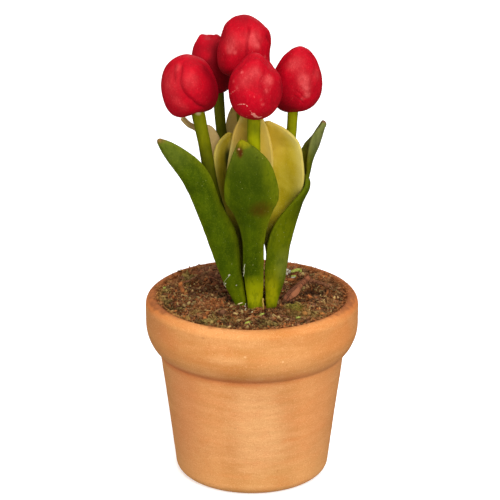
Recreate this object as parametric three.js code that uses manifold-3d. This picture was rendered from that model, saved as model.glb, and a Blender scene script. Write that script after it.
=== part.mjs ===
// A miniature of potted tulips, at the scale of a doll's house: a little terracotta pot filled
// with soil, five closed red tulips on clay stems, three green leaves in front, five pale young
// leaves among the stems and a sliver of bark on the soil.
// Units are millimetres. +Z is up, -Y is the front, and the origin is the centre of the foot.
import * as THREE from 'three';
import { mergeVertices } from 'three/addons/utils/BufferGeometryUtils.js';
import Module from 'manifold-3d';

const wasm = await Module();
wasm.setup();

// ---- Driving dimensions ----------------------------------------------------------------------

const SEAT_GAP = 0.15; // clearance all round a root in the soil and a stem in its bloom

const POT = {
  rimRadius: 12.5,
  height: 22,
  bandHeight: 6.8, // from the lip down to the shoulder under the band
  bandRounding: 3.6, // height of the quarter round below the band
  shoulderRadius: 10.9,
  footRadius: 9.1,
  footRounding: 1.3,
  lipRounding: 1.03, // outer edge of the lip
  lipInnerRounding: 0.35,
  mouthRadius: 11.1,
  floorThickness: 2,
  floorRadius: 7.3, // inside, where the wall meets the floor
  drainRadius: 1.7,
  facets: 48,
};

const SOIL = {
  level: 21.7, // mean height of the top
  lumpHeight: 0.24,
  edgeCalm: 0.35, // share of the relief that is left beside the wall
  topRings: 6,
  facets: 32,
};

const LEAF = {
  thickness: 0.62,
  cellsPerSpan: 2, // rows of cells from one spine point to the next
  cellsAcross: 6,
  narrow: 3, // a blade never wider than this is narrow
  cellsAcrossNarrow: 4,
  cupCentre: 0.6, // where the cup's curve crosses the line between the margins, from the midrib
};
const STEM = { sides: 8, steps: 12 };
const BLOOM = {
  rows: 6, // cells up a petal
  columns: 4, // cells across a petal
  coreFacets: 12,
  coreInset: 0.3, // from the outer petals' face down to the solid heart
  sheet: 0.75, // from a petal's face down to its hidden back, inside the heart
  lowerFullness: 2.2, // shape of the bud below its widest place; 2 is an ellipse
  petalFoot: 0.03, // ends of a petal, as shares of the bud's length
  petalTip: 0.985,
  petalBroad: 0.4, // where a petal is broadest
  footShare: 0.15, // width of its foot, as a share of its breadth
  tipFullness: 5, // how blunt its tip is
};
const GREEN = 0x3f5f0b;
const PALE = 0xb9a941;
const STEM_GREEN = 0x76850c;
const RED = 0xc4101f;
const TERRACOTTA = 0xc87f52;
const EARTH = 0x5d3a24;
const BARK = 0x8a4a35;

// ---- Small helpers ---------------------------------------------------------------------------

const radians = THREE.MathUtils.degToRad;
const polar = (r, angle) => [r * Math.cos(angle), r * Math.sin(angle)];

// Value at t (0 to 1) of a Catmull-Rom curve through evenly spaced numbers.
function blend(values, t) {
  const curve = new THREE.CatmullRomCurve3(
    values.map((v, i) => new THREE.Vector3(v, i, 0)), false, 'catmullrom', 0.5);
  return curve.getPoint(t).x;
}

function spineOf(points) {
  return new THREE.CatmullRomCurve3(
    points.map(([x, y, z]) => new THREE.Vector3(x, y, z)), false, 'catmullrom', 0.5);
}

// Points on a quarter or other part of a circle in the (radius, height) plane, degrees.
function arcPoints(centreR, centreZ, radius, from, to, steps) {
  return Array.from({ length: steps + 1 }, (_, i) => {
    const [x, y] = polar(radius, radians(from + ((to - from) * i) / steps));
    return new THREE.Vector2(centreR + x, centreZ + y);
  });
}

// A solid for booleans, from a closed geometry.
function solidOf(geometry) {
  const merged = welded(geometry);
  return new wasm.Manifold(new wasm.Mesh({
    numProp: 3,
    vertProperties: merged.attributes.position.array,
    triVerts: new Uint32Array(merged.index.array),
  }));
}

// The same geometry with its doubled points joined and its empty triangles left out.
function welded(geometry) {
  const bare = geometry.clone();
  bare.deleteAttribute('normal');
  bare.deleteAttribute('uv');
  const merged = mergeVertices(bare, 1e-4);
  const kept = [];
  for (let i = 0; i < merged.index.count; i += 3) {
    const [a, b, c] = [0, 1, 2].map((k) => merged.index.getX(i + k));
    if (a !== b && b !== c && c !== a) kept.push(a, b, c);
  }
  merged.setIndex(kept);
  return merged;
}

function geometryOf(solid) {
  const { numProp, vertProperties, triVerts } = solid.getMesh();
  const positions = new Float32Array((vertProperties.length / numProp) * 3);
  for (let i = 0; i < positions.length / 3; i++)
    positions.set(vertProperties.subarray(i * numProp, i * numProp + 3), i * 3);
  const geometry = new THREE.BufferGeometry();
  geometry.setAttribute('position', new THREE.BufferAttribute(positions, 3));
  geometry.setIndex(new THREE.BufferAttribute(new Uint32Array(triVerts), 1));
  return geometry;
}

// A closed skin over two grids of points: front[row][column] and back[row][column], the same
// size, split into triangles alike. Seen from the front grid's side, rows go up and columns right.
function slab(front, back) {
  const rows = front.length;
  const columns = front[0].length;
  const positions = [...front.flat(), ...back.flat()].flatMap((p) => [p.x, p.y, p.z]);
  const at = (row, column, side) => side * rows * columns + row * columns + column;
  const index = [];
  const quad = (a, b, c, d) => index.push(a, b, c, a, c, d);
  for (let r = 0; r < rows - 1; r++) {
    for (let c = 0; c < columns - 1; c++) {
      quad(at(r, c, 0), at(r, c + 1, 0), at(r + 1, c + 1, 0), at(r + 1, c, 0));
      index.push(at(r, c, 1), at(r + 1, c + 1, 1), at(r, c + 1, 1));
      index.push(at(r, c, 1), at(r + 1, c, 1), at(r + 1, c + 1, 1));
    }
    quad(at(r, 0, 1), at(r, 0, 0), at(r + 1, 0, 0), at(r + 1, 0, 1));
    quad(at(r, columns - 1, 0), at(r, columns - 1, 1),
      at(r + 1, columns - 1, 1), at(r + 1, columns - 1, 0));
  }
  for (let c = 0; c < columns - 1; c++) {
    quad(at(0, c, 1), at(0, c + 1, 1), at(0, c + 1, 0), at(0, c, 0));
    quad(at(rows - 1, c, 0), at(rows - 1, c + 1, 0),
      at(rows - 1, c + 1, 1), at(rows - 1, c, 1));
  }
  const geometry = new THREE.BufferGeometry();
  geometry.setAttribute('position', new THREE.Float32BufferAttribute(positions, 3));
  geometry.setIndex(index);
  return geometry;
}

// ---- Pot: a turned wall with a rounded band, open at the top, with a drain hole ----------------

function potGeometry() {
  const p = POT;
  const shoulderZ = p.height - p.bandHeight;
  const bandReach = p.rimRadius - p.shoulderRadius;
  const bandRound = Array.from({ length: 7 }, (_, i) => {
    const a = (i / 6) * (Math.PI / 2);
    return new THREE.Vector2(
      p.shoulderRadius + bandReach * Math.sin(a),
      shoulderZ + p.bandRounding * (1 - Math.cos(a)));
  });
  const innerLipR = p.mouthRadius + p.lipInnerRounding;
  const profile = [
    new THREE.Vector2(p.drainRadius, 0),
    ...arcPoints(p.footRadius - p.footRounding, p.footRounding, p.footRounding, -90, 0, 4),
    ...bandRound,
    ...arcPoints(p.rimRadius - p.lipRounding, p.height - p.lipRounding, p.lipRounding, 0, 90, 4),
    ...arcPoints(innerLipR, p.height - p.lipInnerRounding, p.lipInnerRounding, 90, 180, 2),
    new THREE.Vector2(p.floorRadius, p.floorThickness),
    new THREE.Vector2(p.drainRadius, p.floorThickness),
    new THREE.Vector2(p.drainRadius, 0),
  ];
  return new THREE.LatheGeometry(profile, p.facets);
}

// ---- Soil: a plug that fills the pot, its top raised in crumbs and hollows by a formula ---------

// Height of the soil's relief above its mean level, from -1 to 1.
function crumbs(x, y) {
  const broad = Math.sin(0.62 * x + 1.3) * Math.cos(0.71 * y - 0.4);
  const middle = Math.sin(1.45 * x - 0.9 * y) * Math.cos(1.2 * y + 0.5 * x + 2.1);
  const fine = Math.sin(2.9 * x + 1.1) * Math.sin(2.6 * y + 0.6);
  return 0.5 * broad + 0.3 * middle + 0.2 * fine;
}

// Radius of the pot's inner wall at height z.
function wallRadius(z) {
  const top = POT.height - POT.lipInnerRounding;
  const share = (z - POT.floorThickness) / (top - POT.floorThickness);
  return THREE.MathUtils.lerp(POT.floorRadius, POT.mouthRadius, share);
}

function soilSolid(buried) {
  const bottomZ = POT.floorThickness + SEAT_GAP;
  const shoulderZ = SOIL.level - SOIL.lumpHeight;
  const bottomRadius = wallRadius(bottomZ) - SEAT_GAP;
  const topRadius = wallRadius(shoulderZ) - SEAT_GAP;
  const profile = [
    new THREE.Vector2(0, bottomZ),
    new THREE.Vector2(bottomRadius, bottomZ),
    new THREE.Vector2(topRadius, shoulderZ),
  ];
  const firstTop = profile.length;
  for (let i = SOIL.topRings; i >= 0; i--)
    profile.push(new THREE.Vector2((topRadius * i) / SOIL.topRings, SOIL.level));
  const geometry = new THREE.LatheGeometry(profile, SOIL.facets);
  const position = geometry.attributes.position;
  for (let i = 0; i < position.count; i++) {
    const ring = i % profile.length;
    if (ring < firstTop) continue;
    const relief = SOIL.lumpHeight * crumbs(position.getX(i), -position.getZ(i));
    position.setY(i, SOIL.level + (ring === firstTop ? SOIL.edgeCalm * relief : relief));
  }
  geometry.rotateX(Math.PI / 2);
  return buried.reduce((soil, root) => soil.subtract(root), solidOf(geometry));
}

// ---- Spines shared by stems and leaves ---------------------------------------------------------

// A copy of a spine that is longer by reach at both ends.
function extended(spine, reach) {
  if (!reach) return spine;
  const points = spine.points.map((p) => p.clone());
  points[0].addScaledVector(spine.getTangent(0), -reach);
  points[points.length - 1].addScaledVector(spine.getTangent(1), reach);
  return new THREE.CatmullRomCurve3(points, false, 'catmullrom', 0.5);
}

// ---- Stems: round clay rods from the soil up into the blooms -----------------------------------

// Each path starts below the soil and ends inside its bloom.
const STEMS = {
  left: { radius: 0.74, path: [[-1.35, -1.8, 15.5], [-1.4, -1.85, 22], [-2.3, -2.2, 29],
    [-3.9, -2.55, 35.5], [-5, -2.85, 41], [-5.65, -3, 46.6]] },
  back: { radius: 0.62, path: [[-0.9, 0.6, 15.5], [-0.9, 0.65, 22], [-1.3, 1.3, 29],
    [-2.4, 2.7, 35.3], [-3.55, 4.1, 40.6], [-3.95, 5.1, 46.8]] },
  front: { radius: 0.74, path: [[0.42, -2.5, 15.5], [0.42, -2.5, 22], [0.38, -3.15, 29],
    [0.3, -3.9, 35], [0.24, -4.4, 41], [0.45, -4.7, 46.6]] },
  middle: { radius: 0.7, path: [[0.45, -0.05, 15.5], [0.45, -0.05, 22], [0.15, 0, 29],
    [-0.4, 0.15, 36], [-1, 0.4, 43], [-1.2, 0.6, 49.8]] },
  right: { radius: 0.6, path: [[2.45, -0.75, 15.5], [2.45, -0.75, 22], [2.75, -0.6, 29],
    [3.75, -0.35, 36], [4.45, -0.1, 41], [4.75, 0, 45.9]] },
};

function stemGeometry({ radius, path }, extra = 0) {
  const circle = new THREE.Shape(
    Array.from({ length: STEM.sides }, (_, i) => new THREE.Vector2(
      ...polar(radius + extra, (i / STEM.sides) * 2 * Math.PI))));
  return new THREE.ExtrudeGeometry(circle, {
    extrudePath: extended(spineOf(path), extra), steps: STEM.steps, bevelEnabled: false });
}

// ---- Blooms: closed buds of six overlapping petals on a solid heart ----------------------------

// widest: height of the widest place, as a share of the bud's length.
// taper: how full the upper part is; 2 is an ellipse, less is more pointed.
// petals: [azimuth, half width in degrees, lift of its face]; azimuth 0 faces the front and
// positive goes to the right.
const BLOOMS = {
  left: { base: [-6.45, -3, 44.6], top: [-7.4, -3.3, 52.2], width: 6.25,
    widest: 0.42, taper: 1.9, petals: [[-35, 60, -0.2], [85, 60, -0.2], [205, 60, -0.2],
      [-92, 66, 0], [150, 62, 0.05], [25, 52, 0.12]] },
  back: { base: [-4.1, 5, 45.2], top: [-5.15, 5.4, 52], width: 5,
    widest: 0.45, taper: 2.6, petals: [[0, 60, -0.2], [120, 60, -0.2], [240, 60, -0.2],
      [-60, 60, 0], [180, 60, 0.05], [60, 58, 0.1]] },
  front: { base: [0.39, -4.8, 44.9], top: [0.67, -5.05, 52.75], width: 6.15,
    widest: 0.42, taper: 1.7, petals: [[15, 60, -0.2], [135, 60, -0.2], [255, 60, -0.2],
      [76, 62, 0], [195, 62, 0.05], [-42, 59, 0.12]] },
  middle: { base: [-1.15, 0.6, 48], top: [-0.7, 0.9, 55.5], width: 6.2,
    widest: 0.38, taper: 2.1, petals: [[15, 60, -0.2], [135, 60, -0.2], [255, 60, -0.2],
      [75, 64, 0], [195, 60, 0.05], [-46, 58, 0.12]] },
  right: { base: [5.1, 0, 44.15], top: [5.6, 0.2, 52], width: 5.3,
    widest: 0.42, taper: 1.9, petals: [[40, 60, -0.2], [160, 60, -0.2], [280, 60, -0.2],
      [98, 62, 0], [220, 60, 0.05], [-20, 58, 0.12]] },
};

// A point of the bud's egg: v up the axis, azimuth round it, lift off the skin.
function budPoint({ width, widest, taper, length }, v, azimuth, lift) {
  const low = v < widest;
  const t = low ? (widest - v) / widest : (v - widest) / (1 - widest);
  const fullness = low ? BLOOM.lowerFullness : taper;
  const grow = 1 + lift / (width / 2);
  const radius = (width / 2) * grow * Math.sqrt(Math.max(0, 1 - t ** fullness));
  const a = radians(azimuth);
  return new THREE.Vector3(
    radius * Math.sin(a), -radius * Math.cos(a), length * (widest + (v - widest) * grow));
}

// Half the angle that a petal covers at height v: narrow foot, full middle, blunt round tip.
function petalReach(halfWidth, v) {
  const { petalBroad, petalTip, footShare, tipFullness } = BLOOM;
  if (v < petalBroad) {
    const swell = Math.sin((v / petalBroad) * (Math.PI / 2));
    return halfWidth * THREE.MathUtils.lerp(footShare, 1, swell);
  }
  const t = (v - petalBroad) / (petalTip - petalBroad);
  return halfWidth * Math.sqrt(Math.max(0.01, 1 - t ** tipFullness));
}

// Heights up a bud, from one share of its length to another, closer together at both ends.
function heights(from, to, steps) {
  return Array.from({ length: steps + 1 },
    (_, i) => THREE.MathUtils.lerp(from, to, (1 - Math.cos((Math.PI * i) / steps)) / 2));
}

function petalGeometry(bud, [azimuth, halfWidth, lift]) {
  const face = (height) => heights(BLOOM.petalFoot, BLOOM.petalTip, BLOOM.rows).map(
    (v) => Array.from({ length: BLOOM.columns + 1 }, (_, c) => {
      const u = -1 + (2 * c) / BLOOM.columns;
      return budPoint(bud, v, azimuth + u * petalReach(halfWidth, v), height);
    }));
  return slab(face(lift), face(-BLOOM.sheet));
}

function heartGeometry(bud) {
  const profile = heights(0, 1, BLOOM.rows).map((v, i) => {
    const p = budPoint(bud, v, 90, -BLOOM.coreInset);
    return new THREE.Vector2(i % BLOOM.rows ? p.x : 0, p.z);
  });
  return new THREE.LatheGeometry(profile, BLOOM.coreFacets).rotateX(Math.PI / 2);
}

function bloomSolid(bloom, stem) {
  const base = new THREE.Vector3(...bloom.base);
  const axis = new THREE.Vector3(...bloom.top).sub(base);
  const bud = { ...bloom, length: axis.length() };
  const placed = new THREE.Matrix4().compose(base,
    new THREE.Quaternion().setFromUnitVectors(new THREE.Vector3(0, 0, 1), axis.normalize()),
    new THREE.Vector3(1, 1, 1));
  const parts = [heartGeometry(bud), ...bloom.petals.map((petal) => petalGeometry(bud, petal))];
  const solids = parts.map((part) => solidOf(part.applyMatrix4(placed)));
  return wasm.Manifold.union(solids).subtract(solidOf(stemGeometry(stem, SEAT_GAP)));
}

// ---- Leaves: thick blades on a curved midrib ---------------------------------------------------

// spine: the line half way between the margins, from the buried root to the tip.
// width: from margin to margin at each spine point.
// turn: heading of the blade's left-to-right direction seen from above, degrees from +X.
// cup: how far the midrib lies behind the margins, as a share of half the width; negative bulges
// towards the front.
const LEAVES = {
  leaf_green_left: { color: GREEN,
    spine: [[-1.4, -3.2, 17.5], [-1.45, -3.2, 22], [-2.3, -3.5, 26.5], [-3.6, -3.9, 31],
      [-5.2, -4.4, 35], [-7, -4.8, 38.6], [-8.9, -5.1, 41.4], [-10.35, -5.3, 42.6]],
    width: [1.5, 1.6, 2.9, 3.5, 3.4, 3.2, 2.5, 0.5],
    turn: [10, 10, 15, 15, 15, 10, 5, 0],
    cup: [-0.1, -0.2, -0.35, -0.35, -0.35, -0.35, -0.3, 0] },
  leaf_green_front: { color: GREEN,
    spine: [[0.35, -3.8, 17.5], [0.35, -3.8, 22], [0.2, -4.35, 26.5], [0.2, -4.95, 30.5],
      [0.1, -5.4, 33.8], [-0.1, -5.7, 37], [-0.3, -5.9, 40.2], [-0.5, -6, 42.5]],
    width: [1.7, 1.9, 2.2, 2.6, 4.7, 6.2, 4.6, 1.4],
    turn: [0, 0, 0, 0, 0, 0, 0, 0],
    cup: [-0.1, -0.15, -0.3, -0.4, -0.3, -0.25, -0.25, -0.1] },
  leaf_green_right: { color: GREEN,
    spine: [[2.2, -3.25, 17.5], [2.2, -3.25, 22], [2.85, -3.15, 26], [3.42, -3, 30.5],
      [4.75, -2.5, 33.3], [5.65, -2.1, 35.4], [6.05, -1.15, 37.2], [6.35, -1.1, 39.8],
      [7.2, -1.2, 41.8], [8.35, -1.2, 43.7]],
    width: [1.3, 1.4, 2.5, 3.5, 3.2, 2.8, 2, 2.2, 1.7, 0.5],
    turn: [10, 10, 15, 28, 60, 95, 105, 100, 95, 90],
    cup: [-0.1, -0.2, -0.3, -0.4, -0.6, -0.6, -0.55, -0.8, -0.7, 0] },
  leaf_pale_right: { color: PALE,
    spine: [[2.35, -1.98, 17.5], [2.35, -1.98, 22], [2.55, -1.85, 27.5], [2.8, -1.85, 32],
      [3.35, -1.95, 36], [3.5, -1.9, 38.5], [3.2, -1.85, 41], [2.5, -1.7, 42.8],
      [1.7, -1.5, 44.2]],
    width: [1.2, 1.3, 1.5, 2.1, 4, 4.6, 4.4, 3, 1.2],
    turn: [0, 0, -10, -18, -20, -20, -20, -20, -20],
    cup: [0.1, 0.1, 0.2, 0.25, 0.25, 0.25, 0.25, 0.2, 0.1] },
  leaf_pale_middle: { color: PALE,
    spine: [[0.45, -1.25, 17.5], [0.45, -1.25, 22], [0.2, -1.55, 27], [0, -2.05, 32],
      [-0.1, -2.5, 36], [-0.12, -2.6, 39.5], [-0.12, -2.6, 42.5], [-0.2, -2.5, 44.8]],
    width: [1.3, 1.4, 1.8, 3, 4.6, 5, 3.8, 1.8],
    turn: [0, 0, 0, 0, 0, 0, 0, 0],
    cup: [0.1, 0.1, 0.2, 0.3, 0.35, 0.35, 0.35, 0.3] },
  leaf_pale_left: { color: PALE,
    spine: [[-0.95, -0.5, 17.5], [-0.95, -0.5, 22], [-1.5, -0.55, 28], [-2.4, -0.85, 33],
      [-3.05, -1.05, 36.5], [-3.15, -1.05, 38.8], [-2.9, -0.95, 40.8], [-2.4, -0.75, 42.1]],
    width: [0.9, 1, 1.3, 1.6, 2.5, 2.7, 2.5, 1.3],
    turn: [0, 0, 0, 0, 0, 0, 0, 0],
    cup: [0.1, 0.1, 0.2, 0.3, 0.4, 0.4, 0.4, 0.3] },
  leaf_pale_tip: { color: PALE,
    spine: [[-2.05, -0.4, 17.5], [-2.05, -0.4, 22], [-2.7, -0.25, 28], [-3.6, 0.1, 33],
      [-4.4, 0.35, 37], [-4.75, 0.4, 39.8], [-5.3, 0.35, 41.6], [-6.4, 0.2, 42.4],
      [-7.3, 0.1, 42.9], [-8, 0, 43.7]],
    width: [1, 1, 1.1, 1.4, 2, 2.6, 2.2, 0.9, 0.8, 0.6],
    turn: [80, 80, 50, 20, 0, 0, 15, 60, 80, 80],
    cup: [0.1, 0.1, 0.2, 0.2, 0.2, 0.2, 0.2, 0.1, 0, 0] },
  leaf_pale_back: { color: PALE,
    spine: [[0.6, 1.25, 17.5], [0.6, 1.25, 22], [0.4, 1.9, 28], [-0.6, 3.4, 33.6],
      [-1.7, 4.7, 37.5], [-2, 5.3, 40.4], [-2, 5.5, 42.1], [-2, 5.6, 43.3]],
    width: [1.3, 1.4, 1.5, 1.8, 2.2, 2.2, 1.7, 0.8],
    turn: [0, 0, 0, 0, 0, 0, 0, 0],
    cup: [0.1, 0.1, 0.1, 0.2, 0.2, 0.2, 0.2, 0.1] },
};

// A sliver of bark that lies half sunk in the soil and leans up towards the wall.
const CHIP = {
  spine: [[3.8, -2.2, 21.75], [4.7, -0.4, 22.1], [5.65, 1.5, 22.5], [6.75, 3.5, 22.9]],
  width: [1.3, 1.6, 1.1, 0.5],
  turn: [-29, -29, -29, -29],
  cup: [0.1, 0.2, 0.2, 0] };

function bladeGrids({ spine, width, turn, cup }, extra = 0) {
  const curve = extended(spineOf(spine), extra);
  const rows = (spine.length - 1) * LEAF.cellsPerSpan;
  const columns = Math.max(...width) < LEAF.narrow ? LEAF.cellsAcrossNarrow : LEAF.cellsAcross;
  const front = [];
  const back = [];
  for (let r = 0; r <= rows; r++) {
    const t = r / rows;
    const centre = curve.getPoint(t);
    const up = curve.getTangent(t);
    const heading = radians(blend(turn, t));
    const side = new THREE.Vector3(Math.cos(heading), Math.sin(heading), 0);
    side.addScaledVector(up, -side.dot(up)).normalize();
    const behind = new THREE.Vector3().crossVectors(up, side);
    const half = blend(width, t) / 2 + extra;
    const sag = half * blend(cup, t);
    const halfThickness = LEAF.thickness / 2 + extra;
    const rowFront = [];
    const rowBack = [];
    for (let c = 0; c <= columns; c++) {
      const u = -1 + (2 * c) / columns;
      const middle = centre.clone().addScaledVector(side, u * half)
        .addScaledVector(behind, sag * (LEAF.cupCentre - u * u));
      const out = behind.clone().multiplyScalar(half).addScaledVector(side, 2 * sag * u)
        .normalize();
      rowFront.push(middle.clone().addScaledVector(out, -halfThickness));
      rowBack.push(middle.clone().addScaledVector(out, halfThickness));
    }
    front.push(rowFront);
    back.push(rowBack);
  }
  return [front, back];
}

const leafGeometry = (leaf, extra = 0) => slab(...bladeGrids(leaf, extra));

// ---- Assembly ----------------------------------------------------------------------------------

const group = new THREE.Group();

function add(name, geometry, color, roughness) {
  const material = new THREE.MeshStandardMaterial({ color, roughness, metalness: 0 });
  const mesh = new THREE.Mesh(geometry, material);
  mesh.name = name;
  group.add(mesh);
}

const buried = [
  ...Object.values(STEMS).map((stem) => solidOf(stemGeometry(stem, SEAT_GAP))),
  ...Object.values(LEAVES).map((leaf) => solidOf(leafGeometry(leaf, SEAT_GAP))),
  solidOf(leafGeometry(CHIP, SEAT_GAP)),
];

add('pot', potGeometry().rotateX(Math.PI / 2), TERRACOTTA, 0.85);
add('soil', geometryOf(soilSolid(buried)), EARTH, 0.95);
for (const [name, stem] of Object.entries(STEMS))
  add(`stem_${name}`, stemGeometry(stem), STEM_GREEN, 0.5);
for (const [name, bloom] of Object.entries(BLOOMS))
  add(`bloom_${name}`, geometryOf(bloomSolid(bloom, STEMS[name])), RED, 0.55);
for (const [name, leaf] of Object.entries(LEAVES))
  add(name, leafGeometry(leaf), leaf.color, 0.5);
add('bark_chip', leafGeometry(CHIP), BARK, 0.9);

export default group;
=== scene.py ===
# Miniature potted tulips, doll's house size: a turned terracotta pot full of crumbly soil, with five
# closed tulips, eight leaves and a sliver of bark. The leaves, stems and tulips are modelling clay.
import bpy
import numpy as np
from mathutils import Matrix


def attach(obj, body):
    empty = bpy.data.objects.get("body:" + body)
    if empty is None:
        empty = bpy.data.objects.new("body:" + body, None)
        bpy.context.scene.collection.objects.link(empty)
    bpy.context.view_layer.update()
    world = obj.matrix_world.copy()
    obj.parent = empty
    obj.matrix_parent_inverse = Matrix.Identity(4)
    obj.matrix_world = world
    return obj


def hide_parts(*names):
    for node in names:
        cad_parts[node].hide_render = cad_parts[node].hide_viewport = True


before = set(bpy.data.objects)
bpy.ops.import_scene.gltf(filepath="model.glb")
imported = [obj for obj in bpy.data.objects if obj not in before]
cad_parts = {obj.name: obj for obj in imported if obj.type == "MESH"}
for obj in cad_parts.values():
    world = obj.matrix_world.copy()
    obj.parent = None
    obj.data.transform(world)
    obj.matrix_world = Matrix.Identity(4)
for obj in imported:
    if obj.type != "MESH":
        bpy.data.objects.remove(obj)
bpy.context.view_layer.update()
print("frame loaded with", len(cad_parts), "nodes")

millimetre = 0.001


# ---- surfaces: arrays of points in millimetres, put into meshes ----

# Each vector divided by its own length
def unit(vectors):
    return vectors / np.linalg.norm(vectors, axis=-1, keepdims=True)


# 0 below low, 1 above high, and 3 f^2 - 2 f^3 between them
def easeBetween(value, low, high):
    f = np.clip((value - low) / (high - low), 0, 1)
    return f * f * (3 - 2 * f)


# Smooth curve through evenly spaced points a, b, c, d: with f running from b to c, half of
# 2b + (c - a) f + (2a - 5b + 4c - d) f^2 + (3b - a - 3c + d) f^3; an end's neighbour is mirrored in it
def throughPoints(points, share):
    points = np.asarray(points, float)
    padded = np.concatenate([2 * points[:1] - points[1:2], points, 2 * points[-1:] - points[-2:-1]])
    place = np.asarray(share) * (len(points) - 1)
    first = np.clip(np.floor(place).astype(int), 0, len(points) - 2)
    f = place - first
    if points.ndim > 1:
        f = f[..., None]
    a, b, c, d = (padded[first + step] for step in range(4))
    cubic = (3 * b - a - 3 * c + d) * f ** 3
    return 0.5 * (2 * b + (c - a) * f + (2 * a - 5 * b + 4 * c - d) * f ** 2 + cubic)


# Direction of that curve, from two places close together on it
def headingAlong(points, share):
    step = 1e-4
    return unit(throughPoints(points, share + step) - throughPoints(points, share - step))


# Soft lumps from -1 to 1: random heights at the corners of cubes of the given size, blended
# between the eight corners by 3 f^2 - 2 f^3 along each side
def lumps(points, size, seed):
    side = 32  # random heights along each side of the block that repeats
    blocksIn = 100  # the plant lies this many cubes inside it, so no cube's number is negative
    lattice = np.random.default_rng(seed).uniform(-1, 1, (side, side, side))
    place = np.asarray(points) / size + blocksIn
    cell = np.floor(place).astype(int)
    f = easeBetween(place - cell, 0, 1)
    total = np.zeros(place.shape[:-1])
    for corner in np.ndindex(2, 2, 2):
        weight = np.prod(np.where(corner, f, 1 - f), axis=-1)
        at = (cell + corner) % side
        total += weight * lattice[at[..., 0], at[..., 1], at[..., 2]]
    return total


# Lumps of two sizes: big ones, plus a share of small ones
def twoLumps(points, sizes, seed, share=0.4):
    big, small = sizes
    return lumps(points, big, seed) + share * lumps(points, small, seed + 1)


# Places round the upright axis through the origin: (r cos a, r sin a, z)
def turned(radius, angle, level):
    return np.stack([radius * np.cos(angle), radius * np.sin(angle), level], -1)


# Places (x, y, 0)
def onGround(x, y):
    return np.stack([x, y, 0 * x], -1)


# Four-sided faces between neighbouring rings: rings has the shape (rows, places around, 3)
def ringQuads(rows, around, loopBack=False):
    row = np.arange(rows if loopBack else rows - 1)[:, None] * around
    above = (row + around) % (rows * around)
    place = np.arange(around)[None, :]
    beside = (place + 1) % around
    return np.stack([row + place, row + beside, above + beside, above + place], -1).reshape(-1, 4)


# A skin of rings that a fan to one point closes at each end, or whose last ring joins the first
# when loopBack; values are what the mesh carries at its points
def sleeve(rings, start=None, end=None, values=None, loopBack=False):
    rows, around = rings.shape[:2]
    points = rings.reshape(-1, 3)
    skin = {"quads": ringQuads(rows, around, loopBack), "triangles": np.zeros((0, 3), int)}
    skin["values"] = {name: value.reshape(-1) for name, value in (values or {}).items()}
    if not loopBack:
        place = np.arange(around)
        beside = (place + 1) % around
        last = (rows - 1) * around
        count = len(points)
        first = np.stack([np.full(around, count), beside, place], -1)
        final = np.stack([np.full(around, count + 1), last + place, last + beside], -1)
        skin["triangles"] = np.concatenate([first, final])
        points = np.concatenate([points, [start], [end]])
        for name, value in skin["values"].items():
            ends = [value[:around].mean(), value[last:last + around].mean()]
            skin["values"][name] = np.concatenate([value, ends])
    skin["points"] = points
    return skin


# Six times the volume inside a skin, below 0 where its faces point inwards: the sum of
# a . (b x c) over its triangles
def sixVolumes(skin):
    quads = skin["quads"]
    corners = np.concatenate([quads[:, [0, 1, 2]], quads[:, [0, 2, 3]], skin["triangles"]])
    a, b, c = (skin["points"][corners[:, k]] for k in range(3))
    return np.einsum("ij,ij->", a, np.cross(b, c))


# Puts a skin, in metres, into a mesh that rides on the body, with its faces outwards: a skin of
# less than no volume has each face's corners put in the opposite order
def putPiece(name, skin, material, slot=None, nodes=(), smooth=True):
    if sixVolumes(skin) < 0:
        skin["quads"] = skin["quads"][:, ::-1]
        skin["triangles"] = skin["triangles"][:, ::-1]
    quads, triangles = skin["quads"], skin["triangles"]
    corners = np.concatenate([quads.ravel(), triangles.ravel()])
    starts = np.concatenate([np.arange(len(quads)) * 4, len(quads) * 4 + np.arange(len(triangles)) * 3])
    mesh = bpy.data.meshes.new(name)
    mesh.vertices.add(len(skin["points"]))
    mesh.vertices.foreach_set("co", (skin["points"] * millimetre).astype(np.float32).ravel())
    mesh.loops.add(len(corners))
    mesh.loops.foreach_set("vertex_index", corners.astype(np.int32))
    mesh.polygons.add(len(starts))
    mesh.polygons.foreach_set("loop_start", starts.astype(np.int32))
    mesh.update(calc_edges=True)
    for valueName, value in skin["values"].items():
        attribute = mesh.attributes.new(valueName, "FLOAT", "POINT")
        attribute.data.foreach_set("value", value.astype(np.float32))
    if smooth:
        mesh.shade_smooth()
    mesh.materials.append(material)
    piece = bpy.data.objects.new(name, mesh)
    bpy.context.scene.collection.objects.link(piece)
    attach(piece, "root")
    if nodes:
        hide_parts(*nodes)
    print(name, "made,", len(quads) * 2 + len(triangles), "triangles")


# ---- shader maths ----

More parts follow.
